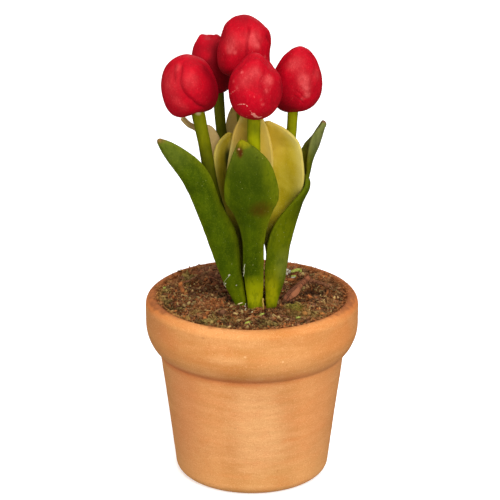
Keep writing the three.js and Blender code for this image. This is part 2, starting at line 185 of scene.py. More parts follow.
# One socket of a material: + - * ** on it add Math nodes, and add() makes any other node
class Wire:
    def __init__(self, tree, socket=None):
        self.tree = tree
        self.socket = socket

    # A node of the given kind: settings first, then its sockets' values or links
    def add(self, kind, settings=None, sockets=None, out=0):
        node = self.tree.nodes.new("ShaderNode" + kind)
        for name, value in (settings or {}).items():
            setattr(node, name, value)
        for name, value in (sockets or {}).items():
            if isinstance(value, Wire):
                self.tree.links.new(value.socket, node.inputs[name])
            else:
                node.inputs[name].default_value = value
        return Wire(self.tree, node.outputs[out] if len(node.outputs) else None)

    # Math on two numbers
    def reckon(self, operation, first, second):
        return self.add("Math", {"operation": operation}, {0: first, 1: second})

    def __add__(self, other):
        return self.reckon("ADD", self, other)

    def __radd__(self, other):
        return self.reckon("ADD", other, self)

    def __sub__(self, other):
        return self.reckon("SUBTRACT", self, other)

    def __rsub__(self, other):
        return self.reckon("SUBTRACT", other, self)

    def __mul__(self, other):
        return self.reckon("MULTIPLY", self, other)

    def __rmul__(self, other):
        return self.reckon("MULTIPLY", other, self)

    def __pow__(self, other):
        return self.reckon("POWER", self, other)

    # Vector Math on this vector and another vector, or on this one and a number with SCALE
    def vector(self, operation, other):
        second = "Scale" if operation == "SCALE" else 1
        return self.add("VectorMath", {"operation": operation}, {0: self, second: other})

    # Length of this vector
    def length(self):
        return self.add("VectorMath", {"operation": "LENGTH"}, {0: self}, out="Value")


# Screen colour, 0 to 255 a channel, as the linear colour that shaders want: c / 12.92 where it is
# nearly black, ((c + 0.055) / 1.055)^2.4 elsewhere
def paint(red, green, blue):
    screen = np.array([red, green, blue]) / 255
    linear = np.where(screen < 0.04045, screen / 12.92, ((screen + 0.055) / 1.055) ** 2.4)
    return (*linear, 1.0)


# Colour first where mask is 0, second where it is 1
def blendColour(mask, first, second):
    return mask.add("Mix", {"data_type": "RGBA"}, {0: mask, 6: first, 7: second}, out=2)


# From one screen colour to another along a mask
def twoTone(mask, low, high):
    return blendColour(mask, paint(*low), paint(*high))


# Lays screen colours over a colour one after another, each where its mask is 1
def layColours(colour, layers):
    for mask, tint in layers:
        colour = blendColour(mask, colour, paint(*tint))
    return colour


# Cloudy noise whose blobs are about size across; stretch multiplies the three axes first
def cloud(place, size, detail=2.0, roughness=0.5, stretch=None):
    if stretch:
        place = place.vector("MULTIPLY", stretch)
    sockets = {"Vector": place, "Scale": 1 / size, "Detail": detail, "Roughness": roughness}
    return place.add("TexNoise", {}, sockets)


# 0 below low, 1 above high and 3 f^2 - 2 f^3 between; the other way round when low is above high
def ease(value, low, high):
    sockets = {"Value": value, "From Min": low, "From Max": high}
    return value.add("MapRange", {"interpolation_type": "SMOOTHSTEP"}, sockets)


# The place moved about by cloudy noise, so that what is drawn there has a ragged outline
def strayed(place, size, amount):
    sockets = {"Vector": place, "Scale": 1 / size, "Detail": 3.0}
    shift = place.add("TexNoise", {}, sockets, out="Color")
    shift = shift.vector("SUBTRACT", (0.5, 0.5, 0.5)).vector("SCALE", 2 * amount)
    return place.vector("ADD", shift)


# Lays soft spots of colour over a colour. Each is 1 well within its radius of its centre and 0 well
# outside. Squash multiplies the distance along each axis, so that 2 halves a spot's length there.
def layMarks(place, colour, marks):
    softness = 0.6  # share of the radius over which a spot fades, on both sides of it
    for centre, radius, squash, strength, tint in marks:
        distance = place.vector("SUBTRACT", centre).vector("MULTIPLY", squash).length()
        mask = ease(distance, radius * (1 + softness), radius * (1 - softness))
        colour = blendColour(mask * strength, colour, paint(*tint))
    return colour


# A value that the mesh carries at its points
def carried(place, name):
    return place.add("Attribute", {"attribute_name": name}, {}, out="Fac")


# One coordinate of the place
def coordinate(place, axis):
    return place.add("SeparateXYZ", {}, {0: place}, out=axis)


# Distance of the place from the pot's own axis
def fromAxis(place):
    return place.vector("MULTIPLY", (1, 1, 0)).length()


# A new material and the wire of its Object coordinates in millimetres
def newFinish(name):
    material = bpy.data.materials.new(name)
    material.use_nodes = True
    material.node_tree.nodes.clear()
    place = Wire(material.node_tree).add("TexCoord", out="Object")
    return material, place.vector("SCALE", 1 / millimetre)


# Shader with a relief in millimetres; what stays the same all over is set on its sockets
def closeFinish(place, colour, roughness, relief, specular=0.5, fixed=None):
    bump = place.add("Bump", {}, {"Height": relief, "Distance": millimetre, "Strength": 1.0})
    sockets = {"Base Color": colour, "Roughness": roughness, "Normal": bump,
               "Specular IOR Level": specular, **(fixed or {})}
    place.add("OutputMaterial", {}, {"Surface": place.add("BsdfPrincipled", {}, sockets)})


# ---- camera, floor and lights ----

studio = {
    "cameraPlace": (-0.000228, -0.273756, 0.127101),
    "cameraTilt": np.pi / 2 - 0.349,  # 20 degrees down from level
    "lens": 179.5, "sensorWidth": 36, "nearest": 0.01,
    "floorReach": 1.0, "floorColour": (0.9, 0.9, 0.9, 1), "floorRoughness": 0.9, "floorGlow": 0.45,
    "skyStrength": 0.4,
    "aim": (0.0, 0.0, 0.028),  # what the softboxes face
    # place, size and power of each softbox
    "softboxes": {
        "key": ((0.16, -0.40, 0.38), 0.34, 2.22),
        "top": ((0.0, 0.0, 0.60), 0.50, 1.2),
        "fill": ((-0.42, -0.26, 0.22), 0.35, 0.9),
        "low": ((0.12, -0.42, 0.07), 0.28, 0.96),
        "back": ((0.10, 0.46, 0.30), 0.34, 0.7)},
}


# A long lens in front of the plant, tilted down on it
def makeCamera():
    data = bpy.data.cameras.new("camera")
    data.lens = studio["lens"]
    data.sensor_width = studio["sensorWidth"]
    data.clip_start = studio["nearest"]
    camera = bpy.data.objects.new("camera", data)
    camera.location = studio["cameraPlace"]
    camera.rotation_euler = (studio["cameraTilt"], 0, 0)
    bpy.context.scene.collection.objects.link(camera)
    bpy.context.scene.camera = camera


# A square soft light that faces the middle of the plant: it is tipped by the angle between its way
# and straight down, then turned to the plant's azimuth
def makeSoftbox(name, place, size, power):
    data = bpy.data.lights.new(name, "AREA")
    data.size = size
    data.energy = power
    light = bpy.data.objects.new(name, data)
    light.location = place
    away = np.array(place) - np.array(studio["aim"])
    across = np.hypot(away[0], away[1])
    light.rotation_euler = (np.arctan2(across, away[2]), 0, np.arctan2(away[0], -away[1]))
    bpy.context.scene.collection.objects.link(light)


# Floor: a square sheet of glowing paper, x and y from -reach to reach, at the pot's foot
def makeFloor():
    corner = np.array([-1.0, 1.0]) * studio["floorReach"]
    x, y = np.meshgrid(corner, corner)
    points = np.stack([x, y, np.zeros_like(x)], -1).reshape(-1, 3)
    mesh = bpy.data.meshes.new("floor")
    mesh.from_pydata(points.tolist(), [], [(0, 1, 3, 2)])
    material, place = newFinish("palePaper")
    fibres = cloud(place, 3.0, 4.0) * 0.002
    glow = {"Emission Color": (1, 1, 1, 1), "Emission Strength": studio["floorGlow"]}
    closeFinish(place, studio["floorColour"], studio["floorRoughness"], fibres, fixed=glow)
    mesh.materials.append(material)
    floor = bpy.data.objects.new("floor", mesh)
    bpy.context.scene.collection.objects.link(floor)
    floor.visible_diffuse = False  # the paper throws no light or reflection back at the plant
    floor.visible_glossy = False


# Even white light from all round
def makeSky():
    world = bpy.data.worlds.new("sky")
    world.use_nodes = True
    background = world.node_tree.nodes["Background"]
    background.inputs["Color"].default_value = (1, 1, 1, 1)
    background.inputs["Strength"].default_value = studio["skyStrength"]
    world.cycles_visibility.glossy = False  # only the softboxes show as gloss
    bpy.context.scene.world = world


makeCamera()
makeFloor()
makeSky()
for softbox, (place, size, power) in studio["softboxes"].items():
    makeSoftbox(softbox, place, size, power)
bpy.context.scene.view_settings.view_transform = "Standard"
print("camera, floor and lights placed")


# ---- terracotta pot ----

pot = {
    "rimRadius": 12.5, "height": 22.0, "bandHeight": 6.8, "bandRounding": 3.6, "bandStart": 35,
    "shoulderRadius": 10.9, "neckGap": 0.03, "footRadius": 9.1, "footRounding": 1.3, "lipRounding": 1.03,
    "lipInnerRounding": 0.35, "mouthRadius": 11.1, "floorThickness": 2.0, "floorRadius": 7.3,
    "drainRadius": 1.7, "drainRounding": 0.2,
    "around": 320,
    "wobble": 0.035, "wobbleSizes": (7.0, 2.2),  # how far the wall strays from round
    "ridges": 0.012,  # depth of the fingers' lines
    # firing stains, a painted highlight on the front of the lip, and flecks: centre, radius, squash,
    # strength, colour
    "stains": [
        ((10.5, -6.8, 19.4), 1.9, (0.8, 0.8, 1.2), 0.6, (208, 112, 44)),
        ((8.4, -9.3, 18.7), 1.5, (0.7, 0.7, 1.3), 0.35, (212, 122, 56)),
        ((-9.7, -7.9, 19.6), 1.6, (0.8, 0.8, 1.5), 0.55, (204, 104, 54)),
        ((-11.3, -5.5, 19.9), 1.9, (0.8, 0.8, 1.2), 0.4, (176, 98, 66)),
        ((-8.1, -6.7, 11.3), 2.6, (1, 1, 0.6), 0.45, (196, 104, 64)),
        ((-7.8, -5.2, 5.0), 2.2, (1, 1, 0.6), 0.35, (200, 112, 70)),
        ((7.7, -6.8, 10.1), 2.6, (1, 1, 0.7), 0.35, (214, 130, 66)),
        ((0.7, -10.2, 9.0), 3.4, (1, 1, 0.5), 0.4, (244, 186, 128)),
        ((-3.1, -12.1, 18.5), 1.3, (0.6, 0.6, 2.4), 0.35, (244, 196, 138)),
        # painted highlight on the front of the lip
        ((-3.1, -12.1, 21.2), 2.6, (0.6, 0.6, 2), 0.25, (250, 200, 140)),
        ((3.8, -11.8, 18.4), 2.0, (0.7, 0.7, 1.2), 0.35, (248, 190, 126)),
        ((5.9, -10.1, 15.5), 1.0, (0.5, 0.5, 2), 0.5, (196, 104, 50))],
    "flecks": [
        ((2.98, -9, 3.17), 0.16, (1.4, 1, 0.7), 0.7, (168, 84, 36)),
        ((-1.97, -10, 9.1), 0.11, (0.6, 1, 1.2), 0.7, (150, 92, 52)),
        ((-1.84, -10.2, 10.84), 0.1, (0.6, 1, 1.2), 0.3, (170, 110, 66)),
        ((-11.84, -3.86, 17.96), 0.12, (1, 1, 1), 0.8, (92, 52, 32)),
        ((-5.56, -11.2, 20.9), 0.13, (0.7, 0.7, 1), 0.4, (170, 96, 50)),
        ((3.52, -12, 18.3), 0.11, (1, 1, 1), 0.45, (250, 214, 160)),
        ((-0.79, -12.5, 19.1), 0.12, (0.8, 0.8, 1), 0.35, (250, 206, 150))],
}


# Points of an arc in the (radius, height) plane: centre + r (cos a, sin a), a from one angle to another
def arc(centreR, centreZ, radius, fromDegrees, toDegrees, steps):
    angle = np.radians(np.linspace(fromDegrees, toDegrees, steps))
    return np.stack([centreR + radius * np.cos(angle), centreZ + radius * np.sin(angle)], -1)


# Straight run of points between two (radius, height) places, both left out
def run(start, end, steps):
    share = np.linspace(0, 1, steps + 2)[1:-1, None]
    return np.array(start) * (1 - share) + np.array(end) * share


# Outline of half the pot's wall: foot, wall, quarter round under the band, lip, inside and drain. The
# quarter round swings from its start angle to 90 degrees: outward as its sine, upward as 1 - cosine
def potOutline():
    p = pot
    shoulder = p["height"] - p["bandHeight"]
    swing = np.radians(np.linspace(p["bandStart"], 90, 26))
    outward = (np.sin(swing) - np.sin(swing[0])) / (1 - np.sin(swing[0]))
    upward = 1 - np.cos(swing) / np.cos(swing[0])
    bandR = p["shoulderRadius"] + (p["rimRadius"] - p["shoulderRadius"]) * outward
    band = np.stack([bandR, shoulder + p["bandRounding"] * upward], -1)[1:]
    foot = arc(p["footRadius"] - p["footRounding"], p["footRounding"], p["footRounding"], -90, 0, 10)
    lip = arc(p["rimRadius"] - p["lipRounding"], p["height"] - p["lipRounding"], p["lipRounding"], 0, 90, 12)
    innerR = p["mouthRadius"] + p["lipInnerRounding"]
    inner = arc(innerR, p["height"] - p["lipInnerRounding"], p["lipInnerRounding"], 90, 180, 6)
    drainR, rounding, thick = p["drainRadius"], p["drainRounding"], p["floorThickness"]
    drain = np.concatenate([
        arc(drainR + rounding, thick - rounding, rounding, 90, 180, 4),
        arc(drainR + rounding, rounding, rounding, 180, 270, 4)])
    neck = (p["shoulderRadius"] - p["neckGap"], shoulder)
    floorCorner = (p["floorRadius"], thick)
    # each stretch of the outline, and the number of points on the straight run from it to the next
    stretches = [(foot, 44), ([neck], 0), (band, 12), (lip, 3), (inner, 24), ([floorCorner], 8), (drain, 10)]
    outline = []
    for (stretch, steps), following in zip(stretches, stretches[1:] + stretches[:1]):
        outline += [np.asarray(stretch, float), run(stretch[-1], following[0][0], steps)]
    return np.concatenate(outline)


# Turns the outline: (r cos a, r sin a, z), with r strayed by soft lumps and fine level ridges
def makePot():
    outline = potOutline()
    angle = np.linspace(0, 2 * np.pi, pot["around"], endpoint=False)
    radius, level = outline[:, :1] + 0 * angle, outline[:, 1:] + 0 * angle
    place = turned(radius, angle, level)
    stray = pot["wobble"] * twoLumps(place, pot["wobbleSizes"], 3)
    top = pot["height"]
    # 1 on the wall, 0 at the foot, the drain and the top of the lip
    wall = easeBetween(radius, 3.0, 6.0) * easeBetween(level, 0.3, 1.5) * easeBetween(level, top, top - 0.6)
    # fingers' lines: lumps drawn out round the pot
    ridge = lumps(place * (0.1, 0.1, 1), 0.45, 5) + 0.6 * lumps(place * (0.15, 0.15, 1), 0.2, 6)
    radius = radius + wall * (stray + pot["ridges"] * ridge)
    level = level + 0.5 * pot["wobble"] * lumps(place, 3.0, 7) * easeBetween(level, top - 1.5, top - 0.1)
    return sleeve(turned(radius, angle, level), loopBack=True)


# Fired clay: pale and dark smears along the turning, stains, grain, and earth rubbed into the lip, with
# painted light towards the sides, a painted shadow under the band and a painted highlight on the front of the
# lip
def terracottaFinish():
    material, place = newFinish("terracotta")
    height, sideways = coordinate(place, "Z"), coordinate(place, "X")
    patches = ease(cloud(place, 6.0, 3.0), 0.35, 0.68)
    smears = ease(cloud(place, 0.8, 4.0, 0.65, (0.16, 0.16, 1.0)), 0.4, 0.66)
    darkSmears = ease(cloud(place, 1.3, 4.0, 0.6, (0.2, 0.2, 1.0)), 0.5, 0.74)
    firedSpots = ease(cloud(place, 2.6, 5.0, 0.65, (0.6, 0.6, 1.0)), 0.5, 0.68)
    brushed = cloud(place, 0.2, 3.0, 0.65, (0.22, 0.22, 1.0))
    grain = cloud(place, 0.13, 4.0, 0.75)
    onBand = ease(height, 15.5, 17.0)
    # painted light: paler towards the sides, less on the band, evening out the light's fall-off away from the
    # front
    paintedSideLight = ease((sideways - 0.8) ** 2, 1.0, 27.0) * (onBand * -0.22 + 0.48)
    # painted shadow under the band
    paintedBandShadow = ease(height, 14.3, 15.15) * ease(height, 16.2, 15.3)
    colour = twoTone(patches, (183, 118, 60), (194, 135, 76))
    colour = layColours(colour, [
        (smears * 0.24, (244, 184, 126)),
        (darkSmears * 0.44, (200, 110, 48)),
        (firedSpots * 0.3, (206, 108, 46))])
    colour = layMarks(strayed(place, 1.6, 0.9), colour, pot["stains"])
    colour = layColours(colour, [
        # painted light towards the sides
        (paintedSideLight, (238, 164, 102)),
        (ease(height, 15.6, 17.2) * 0.35, (214, 142, 74)),
        (ease(brushed, 0.45, 0.65) * 0.14, (196, 112, 60)),
        (ease(height, 6.0, 1.5) * 0.3, (228, 168, 100)),
        (ease(grain, 0.52, 0.68) * 0.48, (182, 100, 46)),
        (ease(grain, 0.46, 0.3) * 0.46, (250, 202, 146)),
        # painted shadow under the band, strongest to the left and fading to the right
        (paintedBandShadow * (ease(sideways, 7.5, -1.0) * 0.32 + 0.06), (196, 84, 38))])
    colour = layMarks(place, colour, pot["flecks"])
    # the lip: a fired edge, worn soot on it and earth inside it, all of them weaker in front
    front = ease(coordinate(place, "Y"), -3.0, -9.5)
    firedEdge = ease(height + cloud(place, 1.4, 4.0) * 0.7 - front * 0.25, 21.35, 21.95)
    soot = ease(height + cloud(place, 0.8, 4.0) * 0.5 - front * 0.35, 21.8, 22.15)
    wornSoot = ease(cloud(place, 0.7, 4.0, 0.7), 0.34, 0.6) * 0.45 + 0.42
    ragged = cloud(place, 0.5, 4.0, 0.7) - 0.5
    inside = ease(fromAxis(place) + ragged * 1.6 + front * 0.1, 11.75, 11.25)
    earthLine = inside * ease(height, 20.5, 21.5)
    colour = layColours(colour, [
        (firedEdge * (front * -0.6 + 0.7), (186, 100, 44)),
        (soot * wornSoot, (138, 80, 46))])
    earthColour = twoTone(front, (124, 68, 34), (170, 88, 34))
    colour = blendColour(earthLine * (front * -0.15 + 0.7), colour, earthColour)
    relief = grain * 0.02 + brushed * 0.012
    closeFinish(place, colour, 0.88 - grain * 0.12, relief, 0.08)
    return material


putPiece("terracottaPot", makePot(), terracottaFinish(), "terracotta", ["pot"])
print("pot turned")


# ---- soil: a plug with a crumbly top, and thousands of loose crumbs on it ----

soil = {
    "level": 21.7, "clearance": 0.04, "wallGap": 0.15, "rings": 150, "around": 420,
    "waveHeight": 0.24, "middleRelief": 0.27, "middleSize": 0.9, "fineRelief": 0.12, "fineSize": 0.33,
    "edgeCalm": 0.35, "calmFrom": 9.0, "calmTo": 11.0,  # share of the relief that is left at the wall
    # places on the soil: x, y, size and depth or height
    "hollows": [(-3.07, 1.65, 0.8, 0.45), (3.29, -0.1, 0.9, 0.6), (4.32, -1.95, 0.6, 0.5),
                (-1.64, -1.95, 0.8, 0.3), (1.63, -2.92, 0.4, 0.2), (-2.46, -0.65, 0.9, 0.5),
                (7.6, 1.2, 0.7, 0.35), (6.6, -1.2, 0.6, 0.35), (0.2, -5.6, 0.5, 0.2), (-6.4, 1.2, 0.6, 0.25),
                (-4.4, -4.2, 0.5, 0.2), (3.2, -6.4, 0.6, 0.2)],
    "mounds": [(-5.7, 9.1, 1.2, 0.25), (-4.05, 4.3, 1.0, 0.4), (-4.9, 6.7, 1.2, 0.35),
               (4.9, -4.4, 1.1, 0.25), (-7.5, -2.5, 1.3, 0.25), (0.5, 6.5, 1.2, 0.2), (7.6, 3.4, 1.1, 0.25),
               (-3.0, -6.0, 1.2, 0.15), (8.6, -2.2, 0.9, 0.25), (-9.2, 1.6, 0.9, 0.2),
               (-5.2, -1.6, 0.7, 0.2)],
    "loose": {
        "soilCrumbs": {"count": 7600, "size": (0.07, 0.2), "unevenness": 1.4, "flatness": 0.55},
        "soilClods": {"count": 800, "size": (0.18, 0.4), "unevenness": 2.0, "flatness": 0.6}},
    "dented": (0.5, 1.35), "stretched": (0.8, 2.0), "raised": (-0.2, 0.6),  # limits, in a crumb's size
    # crumbs beside and on the lip: where they end, how raggedly, and how much smaller they are there
    "reach": 11.85, "lipHeight": 21.98, "thinEdge": 10.8, "edgeBlur": 0.2,
    "spill": 0.95, "spillSize": 1.3, "lipShrink": 0.45, "shrinkOver": 0.5,
    "fibres": {"count": 3000, "length": (0.4, 1.3), "unevenness": 1.8, "reach": 11.2,
               "width": 0.06, "widthVaries": (0.6, 1.4), "raised": (0.08, 0.26), "tilt": 0.28, "bend": 0.16},
    # moss: its share in patches and their size, its share beside the wall and what the left adds to
    # that, and its share on one mound, with the mound's x and y and the square of its size
    "moss": {"patches": 0.2, "patchSize": 1.1, "wall": 0.18, "left": 0.58,
             "mound": 0.6, "place": (4.9, -4.4), "spread": 1.3},
    # rust, pinkish and straw: from and to which hue they take over, darkest and palest colour
    "hues": [
        (0.36, 0.42, (70, 34, 8), (192, 116, 62)),
        (0.66, 0.7, (64, 36, 20), (168, 114, 80)),
        (0.82, 0.84, (84, 60, 24), (208, 176, 112))],
    # patches of other earth, and near-black painted shade in the hollows by the leaves' feet and beside the
    # bark: centre, radius, squash, strength, colour
    "marks": [
        ((-5.7, 9.1, 22), 1.5, (1, 0.7, 1), 0.35, (160, 104, 74)),
        ((-4.05, 4.3, 22), 1.2, (1, 0.7, 1), 0.35, (104, 56, 42)),
        ((-4.9, 6.7, 22), 1.5, (1, 0.7, 1), 0.35, (150, 96, 68)),
        ((-4.6, -2.6, 22), 1.2, (1, 0.8, 1), 0.4, (176, 104, 56)),
        ((-5.6, -5.2, 22), 1.4, (0.8, 1, 1), 0.2, (158, 96, 52)),
        ((-9.2, 4.4, 22), 1.0, (1, 0.8, 1), 0.4, (170, 110, 64)),
        ((4.9, -4.3, 22), 0.9, (0.8, 1, 1), 0.6, (136, 128, 44)),
        ((6.3, -6.0, 22), 1.2, (0.6, 1, 1), 0.35, (140, 116, 48)),
        # painted shade in the hollows by the leaves' feet and beside the bark
        ((3.0, -0.3, 22), 1.0, (1, 0.8, 1), 0.85, (30, 16, 4)),
        ((4.4, -2.6, 22), 0.8, (0.8, 1, 1), 0.8, (34, 18, 4)),
        ((7.4, 0.8, 22), 1.1, (0.8, 1.2, 1), 0.7, (40, 20, 6)),
        ((6.4, -1.6, 22), 0.7, (0.7, 1, 1), 0.7, (40, 20, 6)),
        ((-2.6, -0.9, 22), 0.9, (1, 0.9, 1), 0.75, (44, 22, 8)),
        ((-3.4, 1.8, 22), 0.9, (1, 0.9, 1), 0.4, (60, 32, 16)),
        ((8.0, 4.3, 22), 1.3, (0.6, 1.2, 1), 0.45, (150, 98, 58)),
        ((9.2, -2.4, 22), 1.1, (1, 1, 1), 0.4, (160, 112, 64))],
}


# Relief of the plug's top, -1 to 1: the sum of three products of sine waves
def soilWaves(x, y):
    broad = np.sin(0.62 * x + 1.3) * np.cos(0.71 * y - 0.4)
    middle = np.sin(1.45 * x - 0.9 * y) * np.cos(1.2 * y + 0.5 * x + 2.1)
    fine = np.sin(2.9 * x + 1.1) * np.sin(2.6 * y + 0.6)
    return 0.5 * broad + 0.3 * middle + 0.2 * fine


# Height of the soil: its level + waves + lumps of two sizes, less the hollows, plus the mounds, each
# of them h exp(-(distance / size)^2); waves and the larger lumps calm down towards the wall
def soilHeight(x, y):
    calm = 1 - (1 - soil["edgeCalm"]) * easeBetween(np.hypot(x, y), soil["calmFrom"], soil["calmTo"])
    height = soil["level"] + soil["waveHeight"] * soilWaves(x, y) * calm
    height += calm * soil["middleRelief"] * lumps(onGround(x, y), soil["middleSize"], 11)
    height += soil["fineRelief"] * lumps(onGround(x, y), soil["fineSize"], 12)
    for sign, places in ((-1, soil["hollows"]), (1, soil["mounds"])):
        for atX, atY, size, rise in places:
            height += sign * rise * np.exp(-((x - atX) ** 2 + (y - atY) ** 2) / size ** 2)
    return height


# Radius of the pot's inner wall at a height, on the straight line from its floor to its mouth
def innerWall(height):
    top = pot["height"] - pot["lipInnerRounding"]
    share = (height - pot["floorThickness"]) / (top - pot["floorThickness"])
    return pot["floorRadius"] + (pot["mouthRadius"] - pot["floorRadius"]) * share


# Rings from the middle of the top out to the wall, then down the wall to the bottom
def makeSoilPlug():
    angle = np.linspace(0, 2 * np.pi, soil["around"], endpoint=False)
    share = np.linspace(0, 1, soil["rings"] + 1)[1:, None]
    edge = innerWall(soil["level"]) - soil["clearance"]
    x, y = edge * share * np.cos(angle), edge * share * np.sin(angle)
    top = np.stack([x, y, soilHeight(x, y)], -1)
    bottom = pot["floorThickness"] + soil["wallGap"]
    levels = np.linspace(soil["level"] - 0.5, bottom, 20)[:, None] + 0 * angle
    radius = innerWall(levels) - soil["wallGap"]
    peak = (0, 0, soilHeight(np.zeros(1), np.zeros(1))[0])
    return sleeve(np.concatenate([top, turned(radius, angle, levels)]), peak, (0, 0, bottom))


# Random places on the soil, evenly spread over a disc: r = reach sqrt(random)
def scatter(rng, count, reach):
    radius = reach * np.sqrt(rng.uniform(0, 1, count))
    angle = rng.uniform(0, 2 * np.pi, count)
    return radius * np.cos(angle), radius * np.sin(angle)


# Random turns of space, from unit quaternions (w, x, y, z)
def randomTurns(rng, count):
    w, x, y, z = unit(rng.normal(size=(count, 4))).T
    rows = [[1 - 2 * (y * y + z * z), 2 * (x * y - w * z), 2 * (x * z + w * y)],
            [2 * (x * y + w * z), 1 - 2 * (x * x + z * z), 2 * (y * z - w * x)],
            [2 * (x * z - w * y), 2 * (y * z + w * x), 1 - 2 * (x * x + y * y)]]
    return np.moveaxis(np.array(rows), -1, 0)


# A ball of twenty triangles: the twelve points (0, 1, g), (1, g, 0), (g, 0, 1) with both signs
def twentyFaces():
    g = (1 + 5 ** 0.5) / 2
    points = unit(np.array([
        (-1, g, 0), (1, g, 0), (-1, -g, 0), (1, -g, 0), (0, -1, g), (0, 1, g),
        (0, -1, -g), (0, 1, -g), (g, 0, -1), (g, 0, 1), (-g, 0, -1), (-g, 0, 1)]))
    faces = np.array([
        (0, 11, 5), (0, 5, 1), (0, 1, 7), (0, 7, 10), (0, 10, 11), (1, 5, 9), (5, 11, 4),
        (11, 10, 2), (10, 7, 6), (7, 1, 8), (3, 9, 4), (3, 4, 2), (3, 2, 6), (3, 6, 8),
        (3, 8, 9), (4, 9, 5), (2, 4, 11), (6, 2, 10), (8, 6, 7), (9, 8, 1)])
    return points, faces


# The shapes of many loose bits, (bits, points of a bit, 3), as one skin: each bit has the same faces
# and a tone and a hue of its own
def looseSkin(rng, points, quads, triangles):
    count, each = points.shape[:2]
    shift = (np.arange(count) * each)[:, None, None]
    tone = np.repeat(rng.uniform(0, 1, count), each)
    hue = np.repeat(rng.uniform(0, 1, count), each)
    return {"points": points.reshape(-1, 3), "quads": (quads[None] + shift).reshape(-1, 4),
            "triangles": (triangles[None] + shift).reshape(-1, 3), "values": {"tone": tone, "hue": hue}}


# Crumbs: the ball with each point pushed in or out, stretched, turned and set on the soil
def scatterCrumbs(rng, x, y, z, sizes, flatness):
    ball, faces = twentyFaces()
    count = len(x)
    uneven = rng.uniform(*soil["dented"], (count, len(ball), 1))
    stretch = np.stack([sizes * rng.uniform(*soil["stretched"], count), sizes, sizes * flatness], -1)
    shapes = ball[None] * uneven * stretch[:, None, :]
    shapes = np.einsum("nij,nkj->nki", randomTurns(rng, count), shapes)
    return looseSkin(rng, shapes + np.stack([x, y, z], -1)[:, None, :], np.zeros((0, 4), int), faces)


# Short threads of three rings of four points, pointed at both ends. A ring lies at a share s of the
# length, from -1/2 to 1/2: middle + s length along + bend length (1 - 4 s^2) across
def scatterFibres(rng, x, y, z, lengths):
    fibres = soil["fibres"]
    count = len(x)
    heading = rng.uniform(0, 2 * np.pi, count)
    rise = rng.normal(0, fibres["tilt"], count)
    along = unit(np.stack([np.cos(heading), np.sin(heading), rise], -1))
    across = unit(np.stack([-np.sin(heading), np.cos(heading), 0 * rise], -1))
    upward = np.cross(along, across)
    bend = rng.normal(0, fibres["bend"], count)
    middle = np.stack([x, y, z], -1)
    stations = np.array([-0.32, 0.0, 0.32])
    girths = np.array([0.8, 1.0, 0.7])
    flatness = 0.6
    corner = np.arange(4) * np.pi / 2
    station = lengths[:, None, None] * stations[None, :, None]
    curve = (bend * lengths)[:, None, None] * (1 - (stations / 0.5) ** 2)[None, :, None]
    spine = middle[:, None, :] + station * along[:, None, :] + curve * across[:, None, :]
    varied = rng.uniform(*fibres["widthVaries"], (count, 1, 1, 1))
    girth = fibres["width"] * girths[None, :, None, None] * varied
    ring = (np.cos(corner)[None, None, :, None] * across[:, None, None, :]
            + flatness * np.sin(corner)[None, None, :, None] * upward[:, None, None, :])
    rings = spine[:, :, None, :] + girth * ring
    tips = [middle + sign * 0.5 * lengths[:, None] * along for sign in (-1, 1)]
    points = np.concatenate([rings.reshape(count, 12, 3), np.stack(tips, 1)], 1)
    thread = sleeve(rings[0], tips[0][0], tips[1][0])  # every thread has the faces of the first
    return looseSkin(rng, points, thread["quads"], thread["triangles"])


# How mossy the soil is, 0 to 1: in patches all over, more beside the wall towards the left and the
# front, and most on one mound, by exp(-distance^2 / spread)
def mossiness(x, y):
    moss = soil["moss"]
    rim = easeBetween(np.hypot(x, y), 5.0, 10.5)
    leftward = easeBetween(-x - 0.6 * y, -6.0, 8.0)
    patch = easeBetween(lumps(onGround(x, y), moss["patchSize"], 21), -0.4, 0.7)
    atX, atY = moss["place"]
    onMound = np.exp(-((x - atX) ** 2 + (y - atY) ** 2) / moss["spread"])
    besideWall = rim * (moss["wall"] + moss["left"] * leftward) * (0.5 + 0.5 * patch)
    return np.clip(moss["patches"] * patch + besideWall + moss["mound"] * onMound, 0, 1)


# Height that a loose crumb rests on: the soil, or the pot's lip beyond its mouth
def restHeight(x, y):
    onLip = easeBetween(np.hypot(x, y), pot["mouthRadius"] - 0.1, pot["mouthRadius"] + 0.1)
    return soilHeight(x, y) * (1 - onLip) + soil["lipHeight"] * onLip


# Which crumbs stay: those within a ragged and blurred edge, which reaches further out on the lip at
# the back and the sides
def thinOut(rng, x, y):
    spill = 0.1 + 0.9 * easeBetween(y + 0.25 * np.abs(x), -7.0, 3.0)
    spill = spill * easeBetween(lumps(onGround(x, y), soil["spillSize"], 23), -0.5, 0.5)
    edge = soil["thinEdge"] + soil["spill"] * spill
    return np.hypot(x, y) + rng.normal(0, soil["edgeBlur"], len(x)) < edge


